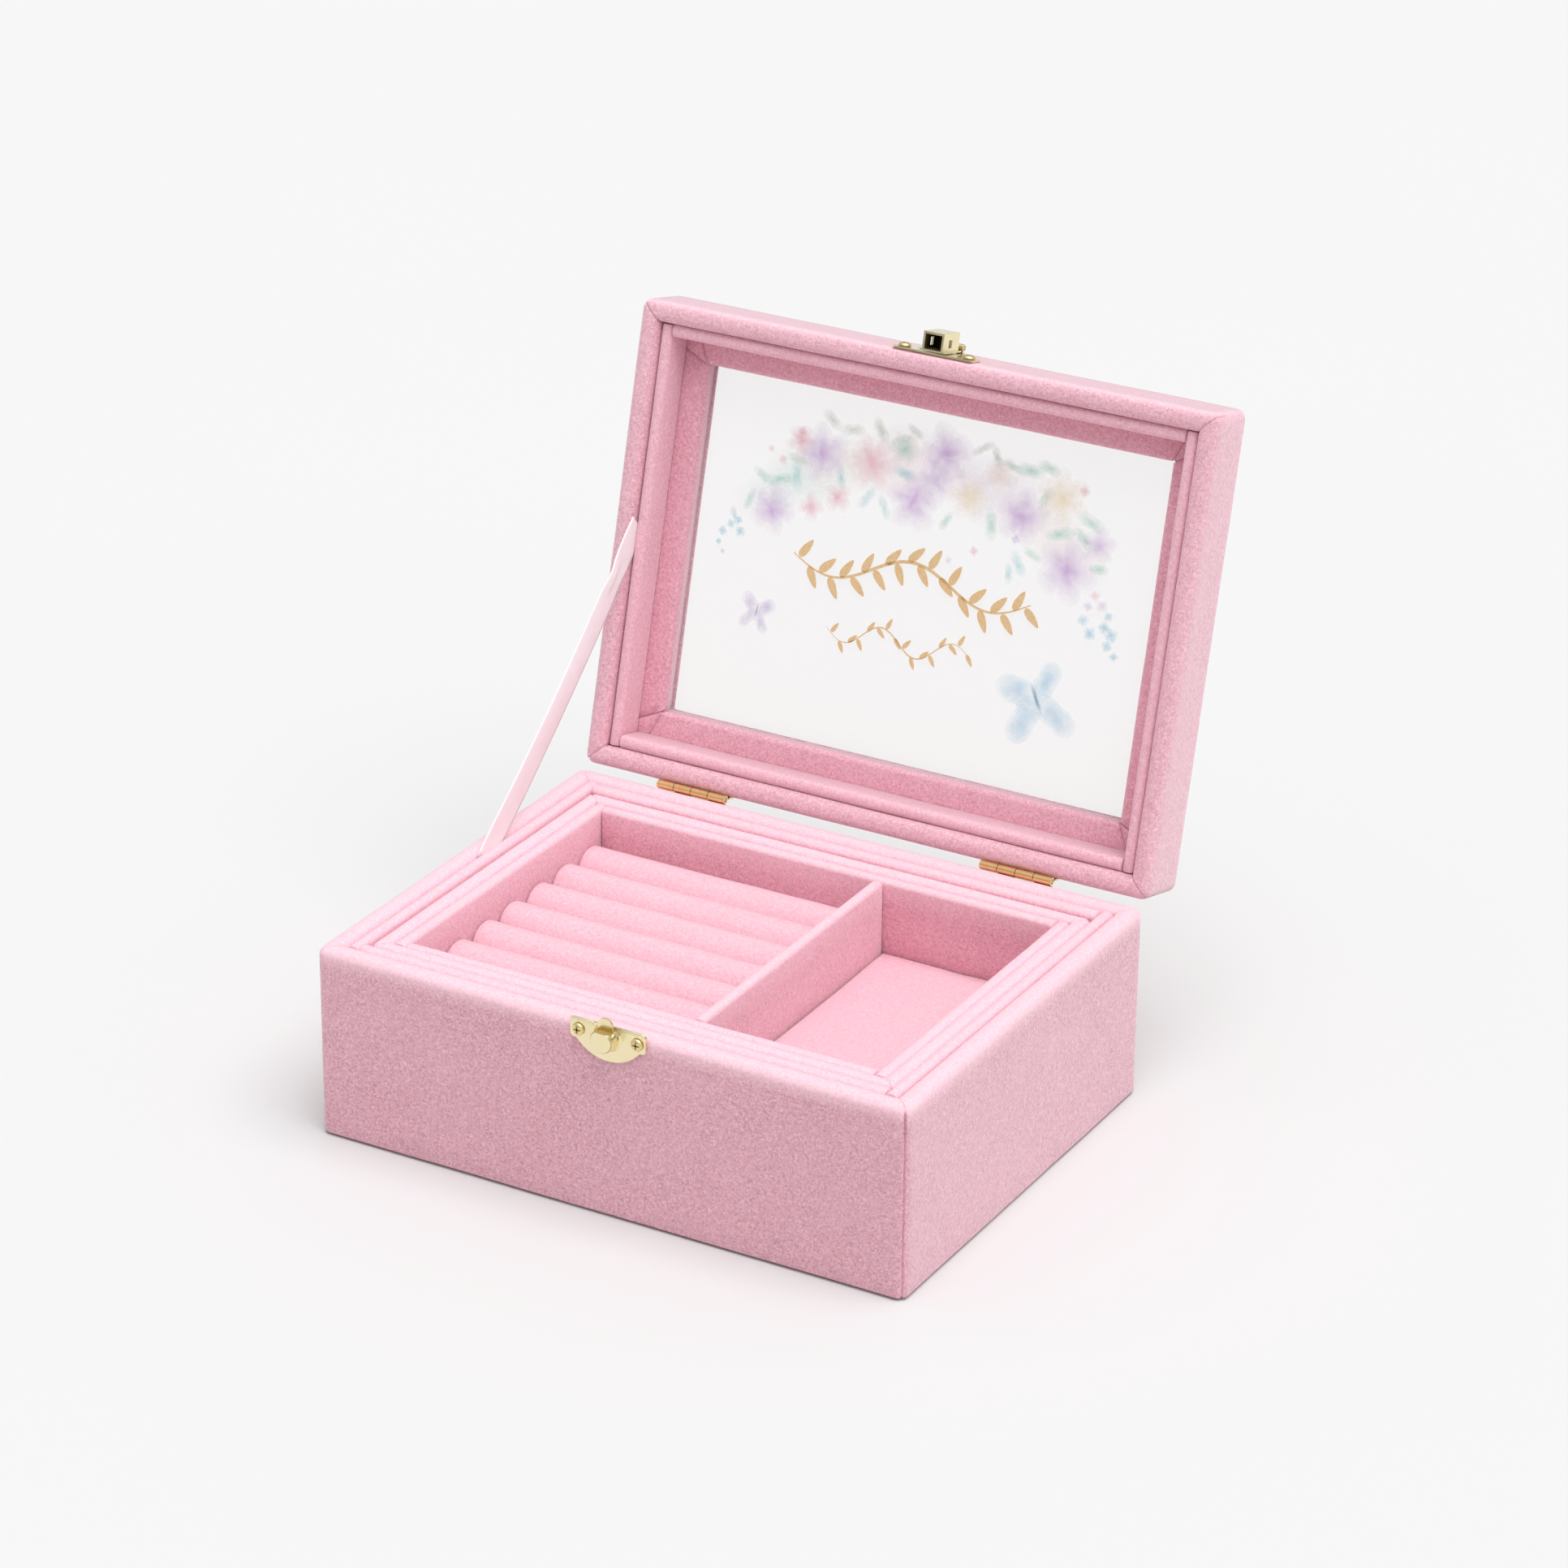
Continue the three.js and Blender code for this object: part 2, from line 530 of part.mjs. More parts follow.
// The ribbon lies in one upright plane, tucked between wall and lining at both ends
function addRibbon() {
  const [y0, z0] = RIBBON_FROM;
  const [y1, z1] = RIBBON_TO;
  const length = Math.hypot(y1 - y0, z1 - z0);
  const along = [(y1 - y0) / length, (z1 - z0) / length];
  const across = [-along[1], along[0]];
  const steps = 24;
  const near = [];
  const far = [];
  for (let i = 0; i <= steps; i += 1) {
    const s = -RIBBON_TUCK + ((length + 2 * RIBBON_TUCK) * i) / steps;
    const t = THREE.MathUtils.clamp(s / length, 0, 1);
    const sag = -RIBBON_SAG * 4 * t * (1 - t);
    const y = y0 + along[0] * s + across[0] * sag;
    const z = z0 + along[1] * s + across[1] * sag;
    near.push([y - (across[0] * RIBBON_W) / 2, z - (across[1] * RIBBON_W) / 2]);
    far.unshift([y + (across[0] * RIBBON_W) / 2, z + (across[1] * RIBBON_W) / 2]);
  }
  const shape = new THREE.Shape();
  [...near, ...far].forEach(([y, z], i) => (i === 0 ? shape.moveTo(y, z) : shape.lineTo(y, z)));
  shape.closePath();
  const geometry = new THREE.ExtrudeGeometry(shape, { depth: RIBBON_T, bevelEnabled: false });
  geometry.rotateX(Math.PI / 2).rotateZ(Math.PI / 2);
  geometry.translate(-WALL_IN_X + 0.2, 0, 0);
  addTo(part, 'ribbon_stay', geometry, SATIN, 0, 0.5);
}

addBase();
addTray();
addLid();
addHinges();
addCatch();
addHasp();
addFlap();
addRibbon();

export default part;
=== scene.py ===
"""Velvet jewelry box with a window lid, a lift-out tray and a brass hasp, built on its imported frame."""

import itertools
import math

import bmesh
import bpy
from bpy.props import FloatProperty, FloatVectorProperty, PointerProperty
from mathutils import Matrix, Vector, noise


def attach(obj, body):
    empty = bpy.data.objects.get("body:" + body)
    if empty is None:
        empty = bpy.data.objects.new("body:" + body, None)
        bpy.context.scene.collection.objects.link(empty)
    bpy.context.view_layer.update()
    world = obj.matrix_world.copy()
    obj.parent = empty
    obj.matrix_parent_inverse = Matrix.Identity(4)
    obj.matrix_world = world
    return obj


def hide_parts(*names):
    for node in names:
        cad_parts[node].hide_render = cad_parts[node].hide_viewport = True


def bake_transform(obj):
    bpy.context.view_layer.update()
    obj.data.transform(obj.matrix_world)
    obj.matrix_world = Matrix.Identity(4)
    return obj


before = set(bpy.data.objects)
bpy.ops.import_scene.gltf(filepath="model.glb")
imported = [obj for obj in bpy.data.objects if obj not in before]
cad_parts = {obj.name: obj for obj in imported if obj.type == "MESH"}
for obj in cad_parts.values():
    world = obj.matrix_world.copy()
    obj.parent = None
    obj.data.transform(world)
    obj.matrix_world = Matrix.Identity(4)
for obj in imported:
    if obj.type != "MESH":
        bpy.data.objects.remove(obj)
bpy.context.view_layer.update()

bl_info = {
    "name": "Velvet Jewelry Box",
    "version": (1, 0, 0),
    "blender": (4, 5, 0),
    "location": "3D View > Sidebar > Jewelry Box",
    "description": "Velvet covers, window print, brass fittings and ribbon stay of a jewelry box",
    "category": "Object",
}

MM = 0.001
LINER_GAP = 0.30 * MM


# ---------------------------------------------------------------- sizes and colours

def length(name, default, about):
    return FloatProperty(name=name, description=about, default=default, min=0.0, unit="LENGTH")


def colour(name, default, about):
    return FloatVectorProperty(name=name, description=about, default=default, size=3,
                               min=0.0, max=1.0, subtype="COLOR")


class JewelryBoxSizes(bpy.types.PropertyGroup):
    """Sizes of the covers and fittings"""

    corner: length("Corner", 3.5 * MM, "Radius of the box's upright corners")
    rim: length("Rim", 3.0 * MM, "Radius of the padded rims")
    foot: length("Foot", 0.9 * MM, "Radius of the box's bottom edge")
    tray_rim: length("Tray rim", 2.3 * MM, "Radius of the tray's rims")
    seam_width: length("Seam width", 1.0 * MM, "Width of the mitre seams")
    seam_depth: length("Seam depth", 0.7 * MM, "Depth of the mitre seams")
    ruffle: length("Ruffle", 0.12 * MM, "Height of the slow waves in the stretched velvet")
    hinge_y: length("Hinge line Y", 83.3 * MM, "Where the hinge line stands behind the middle")
    hinge_z: length("Hinge line Z", 69.3 * MM, "Height of the hinge line")
    lid_open: FloatProperty(name="Lid opening", description="Angle that the lid stands open at rest",
                            default=math.radians(104.3), subtype="ANGLE")
    window_x: length("Window half width", 89.2 * MM, "Half the width of the window's opening")
    window_y: length("Window half height", 61.7 * MM, "Half the height of the window's opening")
    window_edge: length("Window edge", 1.9 * MM, "Radius of the fabric edge round the window")
    ribbon_width: length("Ribbon width", 11 * MM, "Width of the satin stay")
    ribbon_sag: length("Ribbon sag", 2.4 * MM, "How far the satin stay hangs below a straight line")


class JewelryBoxColours(bpy.types.PropertyGroup):
    """Colours of the finishes"""

    velvet: colour("Velvet", (0.80, 0.375, 0.455), "Velvet outside the box and on its rims")
    velvet_light: colour("Brushed velvet", (0.92, 0.55, 0.64), "Velvet where the pile lies over")
    lining: colour("Lining", (0.80, 0.345, 0.44), "Velvet inside the box")
    card: colour("Card", (0.72, 0.62, 0.50), "Raw card")
    paper: colour("Paper", (0.80, 0.78, 0.76), "Paper under the box")
    brass: colour("Brass", (0.91, 0.81, 0.53), "Polished pale brass of the latch")
    hinge: colour("Hinge brass", (0.95, 0.66, 0.32), "Warm brass of the hinges")
    satin: colour("Satin", (0.96, 0.87, 0.895), "Satin of the stay")
    lavender: colour("Lavender", (0.70, 0.58, 0.86), "Lavender blossoms")
    blush: colour("Blush", (0.95, 0.60, 0.66), "Blush blossoms")
    mint: colour("Mint", (0.42, 0.76, 0.62), "Leaves")
    sky: colour("Sky", (0.28, 0.64, 0.82), "Blue butterfly and small buds")
    gold: colour("Gold print", (0.83, 0.58, 0.27), "Gold ornament")
    floor: colour("Floor", (0.72, 0.72, 0.72), "Floor under the box")


def sizes():
    return bpy.context.scene.jewelry_box_sizes


def colours():
    return bpy.context.scene.jewelry_box_colours


# ---------------------------------------------------------------- mesh helpers

def lid_turn():
    """Turns a piece made on the closed lid to the open lid of the frame."""
    s = sizes()
    hinge = Vector((0, s.hinge_y, s.hinge_z))
    swing = Matrix.Rotation(-s.lid_open, 4, "X")
    return Matrix.Translation(hinge) @ swing @ Matrix.Translation(-hinge)


def node_box(*names, turn=None):
    """Lowest and highest corners that hold the nodes, on the closed lid where turn is given."""
    back = turn.inverted() if turn else Matrix.Identity(4)
    points = [back @ v.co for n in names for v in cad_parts[n].data.vertices]
    low = Vector(min(p[k] for p in points) for k in range(3))
    high = Vector(max(p[k] for p in points) for k in range(3))
    return low, high


def add_block(bm, low, high):
    """Adds a plain block to the mesh."""
    made = bmesh.ops.create_cube(bm, size=1.0)["verts"]
    bmesh.ops.scale(bm, vec=Vector(high) - Vector(low), verts=made)
    bmesh.ops.translate(bm, vec=(Vector(high) + Vector(low)) / 2, verts=made)


def box_mesh(low, high):
    bm = bmesh.new()
    add_block(bm, low, high)
    return bm


def edges_at(bm, level):
    """The edges that lie at the level."""
    return [e for e in bm.edges if all(abs(v.co.z - level) < 1e-7 for v in e.verts)]


def edges_along(edges, axis):
    """Those of the edges that run along the axis."""
    return [e for e in edges if abs((e.verts[0].co - e.verts[1].co)[axis]) > 1e-6]


def round_edges(bm, edges, radius, segments=5):
    bmesh.ops.bevel(bm, geom=list(edges), offset=radius, offset_type="OFFSET", segments=segments,
                    profile=0.5, affect="EDGES", clamp_overlap=True, material=-1)


def rounded_loop(bm, half_x, half_y, z, corner, segments):
    """A rounded rectangle of edges; every corner takes the same number of points."""
    verts = bmesh.ops.create_circle(bm, cap_ends=False, segments=4, radius=math.sqrt(2))["verts"]
    bmesh.ops.rotate(bm, cent=(0, 0, 0), matrix=Matrix.Rotation(math.pi / 4, 3, "Z"), verts=verts)
    bmesh.ops.scale(bm, vec=(half_x, half_y, 1), verts=verts)
    bmesh.ops.translate(bm, vec=(0, 0, z), verts=verts)
    bmesh.ops.bevel(bm, geom=verts, offset=corner, offset_type="OFFSET", segments=segments, profile=0.5,
                    affect="VERTICES", clamp_overlap=True, material=-1)
    return bm.verts[:]


def shell_of_loops(loops, segments=5):
    """A closed shell whose section runs through the loops (half_x, half_y, z, corner, edge radius)."""
    bm = bmesh.new()
    rings = [rounded_loop(bm, *loops[0][:4], segments)]
    edges = bm.edges[:]
    for old, new in zip(loops, loops[1:] + loops[:1]):
        made = bmesh.ops.extrude_edge_only(bm, edges=edges)["geom"]
        verts = [v for v in made if isinstance(v, bmesh.types.BMVert)]
        fresh = set(verts)
        edges = [e for e in made if isinstance(e, bmesh.types.BMEdge) and fresh.issuperset(e.verts)]
        for v in verts:
            side = Vector((math.copysign(1, v.co.x), math.copysign(1, v.co.y)))
            arc = (v.co.xy - Vector((side.x * (old[0] - old[3]), side.y * (old[1] - old[3])))) / old[3]
            v.co = Vector((side.x * (new[0] - new[3]) + arc.x * new[3],
                           side.y * (new[1] - new[3]) + arc.y * new[3], new[2]))
        rings.append(verts)
    closing = {v: min(rings[0], key=lambda w, v=v: (w.co - v.co).length) for v in rings.pop()}
    bmesh.ops.weld_verts(bm, targetmap=closing)
    bmesh.ops.recalc_face_normals(bm, faces=bm.faces)
    if bm.calc_volume(signed=True) < 0:
        bmesh.ops.reverse_faces(bm, faces=bm.faces[:])
    for ring, loop in zip(rings, loops):
        if loop[4]:
            held = set(ring)
            round_edges(bm, [e for e in bm.edges if held.issuperset(e.verts)], loop[4], 5)
    return bm


def sharp_edges(bm, angle):
    """The edges where two faces meet at more than the angle."""
    return [e for e in bm.edges if e.calc_face_angle(0) > angle]


def cut_into(bm, *steps):
    """Cuts the mesh about every step along x, y and z, so that it can wave and take seams."""
    for axis, step in enumerate(steps):
        low = min(v.co[axis] for v in bm.verts)
        high = max(v.co[axis] for v in bm.verts)
        count = max(1, round((high - low) / step))
        normal = Vector((axis == 0, axis == 1, axis == 2))
        for k in range(1, count):
            place = normal * (low + (high - low) * k / count)
            bmesh.ops.bisect_plane(bm, geom=bm.verts[:] + bm.edges[:] + bm.faces[:], dist=1e-6,
                                   plane_co=place, plane_no=normal)


def ruffle(bm, depth, wavelength, seed):
    """Moves the skin in and out in slow waves."""
    bm.normal_update()
    shift = Vector((seed * 3.1, seed * 1.7, seed * 5.3))
    for v in bm.verts:
        v.co += v.normal * depth * noise.noise(v.co / wavelength + shift)


def seam(bm, place, across, width, depth, near):
    """Presses a seam into the faces that near picks, along the plane through place."""
    across = Vector(across).normalized()
    for side in (-1.0, -0.45, 0.0, 0.45, 1.0):
        faces = [f for f in bm.faces if near(f.calc_center_median())]
        geom = set(faces)
        for f in faces:
            geom.update(f.verts)
            geom.update(f.edges)
        bmesh.ops.bisect_plane(bm, geom=list(geom), dist=1e-6,
                               plane_co=Vector(place) + across * width * side, plane_no=across)
    bm.normal_update()
    moves = []
    for v in bm.verts:
        off = abs((v.co - Vector(place)).dot(across)) / width
        if off < 0.99 and near(v.co):
            moves.append((v, -v.normal * depth * (1 - off) ** 1.3))
    for v, move in moves:
        v.co += move


def pile_wear_and_painted_light(bm, level, full, fade, upward=1, much=1.0, axis=2):
    """Marks where the velvet is painted pale, partly for rubbed, open pile and partly as painted light
    where the light falls: fully within full of the level, less until fade beyond.
    """
    layer = bm.verts.layers.float.get("pile_wear_and_painted_light") or bm.verts.layers.float.new("pile_wear_and_painted_light")
    for v in bm.verts:
        off = (level - v.co[axis]) * upward
        v[layer] = max(v[layer], much * min(1.0, max(0.0, 1 - (off - full) / fade)))


def finish_mesh(bm, name, finish, smooth=True, turn=None, facing=None):
    """Makes the piece; facing is the side that a flat print looks to, on the closed lid."""
    bmesh.ops.recalc_face_normals(bm, faces=bm.faces)
    if facing is not None:
        bm.normal_update()
        bmesh.ops.reverse_faces(bm, faces=[f for f in bm.faces if f.normal.dot(facing) < 0])
    elif bm.calc_volume(signed=True) < 0:
        bmesh.ops.reverse_faces(bm, faces=bm.faces[:])
    if turn is not None:
        bmesh.ops.transform(bm, matrix=turn, verts=bm.verts)
    mesh = bpy.data.meshes.new(name)
    bm.to_mesh(mesh)
    bm.free()
    mesh.polygons.foreach_set("use_smooth", [smooth] * len(mesh.polygons))
    mesh.materials.append(finish)
    piece = bpy.data.objects.new(name, mesh)
    bpy.context.scene.collection.objects.link(piece)
    return piece


def set_piece(piece, body, nodes=()):
    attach(piece, body)
    if nodes:
        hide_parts(*nodes)


def add_piece(bm, name, finish, body, slot, nodes=(), fill=None, **shape):
    """Makes the piece in the named finish and says what it rides and replaces; fill is not used."""
    set_piece(finish_mesh(bm, name, finish_named(finish), **shape), body, nodes)


# ---------------------------------------------------------------- finishes

def node(tree, kind, **settings):
    made = tree.nodes.new(kind)
    for key, value in settings.items():
        setattr(made, key, value)
    return made


def noise_at(tree, place, scale, detail=2.0, roughness=0.5, distortion=0.0):
    made = node(tree, "ShaderNodeTexNoise")
    made.inputs["Scale"].default_value = scale
    made.inputs["Detail"].default_value = detail
    made.inputs["Roughness"].default_value = roughness
    made.inputs["Distortion"].default_value = distortion
    tree.links.new(place, made.inputs["Vector"])
    return made.outputs["Fac"]


def spread(tree, value, low, high, to_low=0.0, to_high=1.0):
    made = node(tree, "ShaderNodeMapRange")
    made.inputs["From Min"].default_value = low
    made.inputs["From Max"].default_value = high
    made.inputs["To Min"].default_value = to_low
    made.inputs["To Max"].default_value = to_high
    tree.links.new(value, made.inputs["Value"])
    return made.outputs["Result"]


def blend_colours(tree, factor, first, second):
    made = node(tree, "ShaderNodeMix", data_type="RGBA")
    tree.links.new(factor, made.inputs[0])
    for socket, value in ((made.inputs[6], first), (made.inputs[7], second)):
        if isinstance(value, bpy.types.NodeSocket):
            tree.links.new(value, socket)
        else:
            socket.default_value = (*value, 1.0)
    return made.outputs[2]


def bump(tree, height, strength, distance, under=None):
    made = node(tree, "ShaderNodeBump")
    made.inputs["Strength"].default_value = strength
    made.inputs["Distance"].default_value = distance
    tree.links.new(height, made.inputs["Height"])
    if under is not None:
        tree.links.new(under, made.inputs["Normal"])
    return made.outputs["Normal"]


def new_finish(name):
    material = bpy.data.materials.new(name)
    material.use_nodes = True
    tree = material.node_tree
    shader = tree.nodes["Principled BSDF"]
    place = node(tree, "ShaderNodeTexCoord").outputs["Object"]
    return material, tree, shader, place


def velvet(name, deep, light, grain=1.0, patchy=1.0):
    """Short-pile velvet: worm-like nap, soft clumps, slow brushed patches, and paler, smoother pile where
    the mesh marks rubbed pile and painted light.
    """
    material, tree, shader, place = new_finish(name)
    nap = noise_at(tree, place, 1150.0, 3.0, 0.66, 0.9)
    clumps = noise_at(tree, place, 430.0, 2.0, 0.55, 0.5)
    patches = noise_at(tree, place, 60.0, 3.0, 0.55, 0.6)
    sweep = noise_at(tree, place, 13.0, 2.0, 0.5, 0.4)
    middle = tuple((d + v) / 2 for d, v in zip(deep, light))
    low = tuple(m + (d - m) * grain for m, d in zip(middle, (c * 0.72 for c in deep)))
    high = tuple(min(1.0, m + (v - m) * grain) for m, v in zip(middle, (c * 1.06 for c in light)))
    tone = blend_colours(tree, spread(tree, nap, 0.38, 0.63), low, high)
    tone = blend_colours(tree, spread(tree, clumps, 0.60, 0.36, 0.0, 0.30 * grain), tone, deep)
    tone = blend_colours(tree, spread(tree, patches, 0.40, 0.70, 0.0, 0.14 * patchy), tone, light)
    tone = blend_colours(tree, spread(tree, sweep, 0.42, 0.66, 0.0, 0.14 * patchy), tone, light)
    # Painted highlight with some real wear: where the mesh marks it, the velvet turns pale pink and its
    # nap flattens, for rubbed pile and for light falling on rims and lit faces
    wear_and_light = node(tree, "ShaderNodeAttribute", attribute_name="pile_wear_and_painted_light").outputs["Fac"]
    pale = blend_colours(tree, spread(tree, nap, 0.30, 0.70), (0.92, 0.56, 0.65), (1.0, 0.72, 0.79))
    tone = blend_colours(tree, spread(tree, wear_and_light, 0.0, 1.0, 0.0, 0.85), tone, pale)
    tree.links.new(tone, shader.inputs["Base Color"])
    tree.links.new(spread(tree, patches, 0.3, 0.7, 0.95, 0.80), shader.inputs["Roughness"])
    shader.inputs["Specular IOR Level"].default_value = 0.12
    shader.inputs["Sheen Weight"].default_value = 1.0
    shader.inputs["Sheen Roughness"].default_value = 0.45
    shader.inputs["Sheen Tint"].default_value = (1.0, 0.86, 0.90, 1.0)
    soft = bump(tree, clumps, 0.5 * grain, 0.5 * MM)
    fine = bump(tree, nap, 0.9 * grain, 0.35 * MM, soft)
    tree.links.new(spread(tree, wear_and_light, 0.0, 1.0, 0.9 * grain, 0.25 * grain),
                   fine.node.inputs["Strength"])
    tree.links.new(fine, shader.inputs["Normal"])
    return material


def brass(name, tone, roughness, warm):
    """Plated brass: faint brushing, smudges and small pits."""
    material, tree, shader, place = new_finish(name)
    streaks = node(tree, "ShaderNodeMapping")
    streaks.inputs["Scale"].default_value = (1.0, 1.0, 9.0)
    tree.links.new(place, streaks.inputs["Vector"])
    brushed = noise_at(tree, streaks.outputs["Vector"], 900.0, 3.0, 0.6)
    smudge = noise_at(tree, place, 210.0, 3.0, 0.55, 0.5)
    pits = noise_at(tree, place, 1500.0, 1.0, 0.4)
    colour_out = blend_colours(tree, spread(tree, smudge, 0.35, 0.7, 0.0, 0.5), tone, warm)
    tree.links.new(colour_out, shader.inputs["Base Color"])
    shader.inputs["Metallic"].default_value = 1.0
    tree.links.new(spread(tree, smudge, 0.3, 0.7, roughness * 0.75, roughness * 1.5),
                   shader.inputs["Roughness"])
    fine = bump(tree, brushed, 0.10, 0.05 * MM)
    tree.links.new(bump(tree, spread(tree, pits, 0.70, 0.78), 0.12, 0.05 * MM, fine),
                   shader.inputs["Normal"])
    return material


def fibre_stock(name, tone, fleck):
    """Card or paper with fibres and flecks."""
    material, tree, shader, place = new_finish(name)
    fibres = noise_at(tree, place, 700.0, 4.0, 0.7, 0.8)
    flecks = noise_at(tree, place, 240.0, 2.0, 0.5)
    tone_out = blend_colours(tree, spread(tree, fibres, 0.35, 0.7, 0.0, 0.6), tone, fleck)
    tone_out = blend_colours(tree, spread(tree, flecks, 0.62, 0.75, 0.0, 0.35), tone_out,
                             tuple(c * 0.7 for c in fleck))
    tree.links.new(tone_out, shader.inputs["Base Color"])
    tree.links.new(spread(tree, fibres, 0.3, 0.7, 0.75, 0.95), shader.inputs["Roughness"])
    tree.links.new(bump(tree, fibres, 0.35, 0.2 * MM), shader.inputs["Normal"])
    return material


def satin(name, tone):
    """Satin ribbon: fine weft ribs, soft lengthwise sheen and bright woven edges."""
    material, tree, shader, place = new_finish(name)
    uv = node(tree, "ShaderNodeUVMap", uv_map="ribbon").outputs["UV"]
    parts = node(tree, "ShaderNodeSeparateXYZ")
    tree.links.new(uv, parts.inputs["Vector"])
    weft = node(tree, "ShaderNodeTexWave", wave_type="BANDS", bands_direction="Y")
    weft.inputs["Scale"].default_value = 240.0
    weft.inputs["Distortion"].default_value = 0.4
    tree.links.new(uv, weft.inputs["Vector"])
    cloud = noise_at(tree, place, 160.0, 3.0, 0.5)
    body = blend_colours(tree, spread(tree, cloud, 0.35, 0.68, 0.0, 0.6), tone, (0.99, 0.94, 0.955))
    edge = node(tree, "ShaderNodeMath", operation="ABSOLUTE")
    centred = node(tree, "ShaderNodeMath", operation="SUBTRACT")
    tree.links.new(parts.outputs["X"], centred.inputs[0])
    centred.inputs[1].default_value = 0.5
    tree.links.new(centred.outputs[0], edge.inputs[0])
    selvage = spread(tree, edge.outputs[0], 0.40, 0.43)
    tree.links.new(blend_colours(tree, selvage, body, (1.0, 0.97, 0.98)), shader.inputs["Base Color"])
    tree.links.new(spread(tree, cloud, 0.3, 0.7, 0.28, 0.42), shader.inputs["Roughness"])
    shader.inputs["Sheen Weight"].default_value = 0.3
    weave = bump(tree, weft.outputs["Fac"], 0.25, 0.05 * MM)
    tree.links.new(bump(tree, selvage, 0.5, 0.15 * MM, weave), shader.inputs["Normal"])
    return material


def clear_pane(name):
    """Thin clear pane with faint smears."""
    material, tree, shader, place = new_finish(name)
    smears = noise_at(tree, place, 40.0, 4.0, 0.6, 1.2)
    shader.inputs["Base Color"].default_value = (0.97, 0.98, 0.97, 1.0)
    tree.links.new(spread(tree, smears, 0.45, 0.8, 0.03, 0.12), shader.inputs["Roughness"])
    shader.inputs["IOR"].default_value = 1.45
    shader.inputs["Alpha"].default_value = 0.10
    tree.links.new(bump(tree, smears, 0.02, 0.2 * MM), shader.inputs["Normal"])
    return material


def print_ink(name):
    """Water-colour print: its tone and cover come from the piece's own colours."""
    material, tree, shader, place = new_finish(name)
    tint = node(tree, "ShaderNodeAttribute", attribute_name="tint")
    wash = noise_at(tree, place, 260.0, 4.0, 0.6, 0.5)
    washed = blend_colours(tree, spread(tree, wash, 0.42, 0.78, 0.0, 0.30), tint.outputs["Color"],
                           (0.97, 0.97, 0.98))
    tree.links.new(washed, shader.inputs["Base Color"])
    cover = node(tree, "ShaderNodeMath", operation="MULTIPLY")
    tree.links.new(tint.outputs["Alpha"], cover.inputs[0])
    tree.links.new(spread(tree, wash, 0.35, 0.75, 1.0, 0.62), cover.inputs[1])
    tree.links.new(cover.outputs[0], shader.inputs["Alpha"])
    shader.inputs["Roughness"].default_value = 0.7
    shader.inputs["Specular IOR Level"].default_value = 0.1
    return material


def gold_ink(name, tone):
    """Gold print with a soft metallic fleck."""
    material, tree, shader, place = new_finish(name)
    fleck = noise_at(tree, place, 1400.0, 2.0, 0.6)
    tree.links.new(blend_colours(tree, spread(tree, fleck, 0.35, 0.7), tone, (0.90, 0.70, 0.42)),
                   shader.inputs["Base Color"])
    shader.inputs["Metallic"].default_value = 0.25
    tree.links.new(spread(tree, fleck, 0.3, 0.7, 0.35, 0.55), shader.inputs["Roughness"])
    return material


FINISHES = {}


def make_finish(key):
    c = colours()
    light = tuple(c.velvet_light)
    makers = {
        "velvet_outer": (velvet, "velvet_outer", tuple(c.velvet), light),
        "velvet_inner": (velvet, "velvet_inner", tuple(c.lining), light, 0.7),
        "velvet_roll": (velvet, "velvet_roll", (0.85, 0.46, 0.545), (0.94, 0.62, 0.70), 0.45, 0.5),
        "card": (fibre_stock, "card", tuple(c.card), (0.60, 0.48, 0.36)),
        "paper": (fibre_stock, "underside_paper", tuple(c.paper), (0.70, 0.67, 0.66)),
        "brass": (brass, "latch_brass", tuple(c.brass), 0.17, (0.86, 0.74, 0.44)),
        "screw_brass": (brass, "screw_brass", (0.88, 0.72, 0.38), 0.34, (0.78, 0.60, 0.28)),
        # Paler brass for the catch's rolled edge: a painted highlight
        "highlight_brass": (brass, "highlight_brass", (0.97, 0.88, 0.60), 0.40, (0.92, 0.80, 0.48)),
        # Darker brass: painted shade in the catch's hollow nose and round its mouth
        "nose_shade_brass": (brass, "nose_shade_brass", (0.74, 0.59, 0.30), 0.50, (0.64, 0.48, 0.22)),
        # Near-black brass: painted shade inside the hasp's hollow box
        "hollow_shade_brass": (brass, "hollow_shade_brass", (0.13, 0.10, 0.06), 0.55, (0.20, 0.15, 0.08)),
        # Dark brass: painted shade in the screws' cross recesses
        "recess_shade_brass": (brass, "screw_recess_shade", (0.34, 0.25, 0.11), 0.45, (0.24, 0.18, 0.08)),
        "hinge": (brass, "hinge_brass", tuple(c.hinge), 0.22, (0.72, 0.40, 0.15)),
        "satin": (satin, "satin", tuple(c.satin)),
        "pane": (clear_pane, "pane"),
        "ink": (print_ink, "window_ink"),
        "gold_ink": (gold_ink, "gold_ink", tuple(c.gold)),
    }
    maker, *settings = makers[key]
    return maker(*settings)


def finish_named(key):
    """Each finish is made once, when a piece first needs it."""
    if key not in FINISHES:
        FINISHES[key] = make_finish(key)
    return FINISHES[key]


def refinish(key, *nodes):
    for n in nodes:
        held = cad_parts[n]
        if not held.material_slots:
            held.data.materials.append(finish_named(key))
        for s in held.material_slots:
            s.material = finish_named(key)


# ---------------------------------------------------------------- velvet covers

# The four corners of a rim, and the four sides of a box with the axis that each runs along
CORNERS = ((1, 1), (1, -1), (-1, 1), (-1, -1))
SIDES = (("front", 0), ("back", 0), ("left", 1), ("right", 1))


def four_walls(part, turn=None):
    """Names of the part's walls, the box that holds them and half the opening between them."""
    walls = [f"{part}_{side}_wall" for side, _ in SIDES]
    low, high = node_box(*walls, turn=turn)
    hole_x = node_box(f"{part}_right_wall", turn=turn)[0].x
    hole_y = node_box(f"{part}_back_wall", turn=turn)[0].y
    return walls, low, high, (hole_x, hole_y)


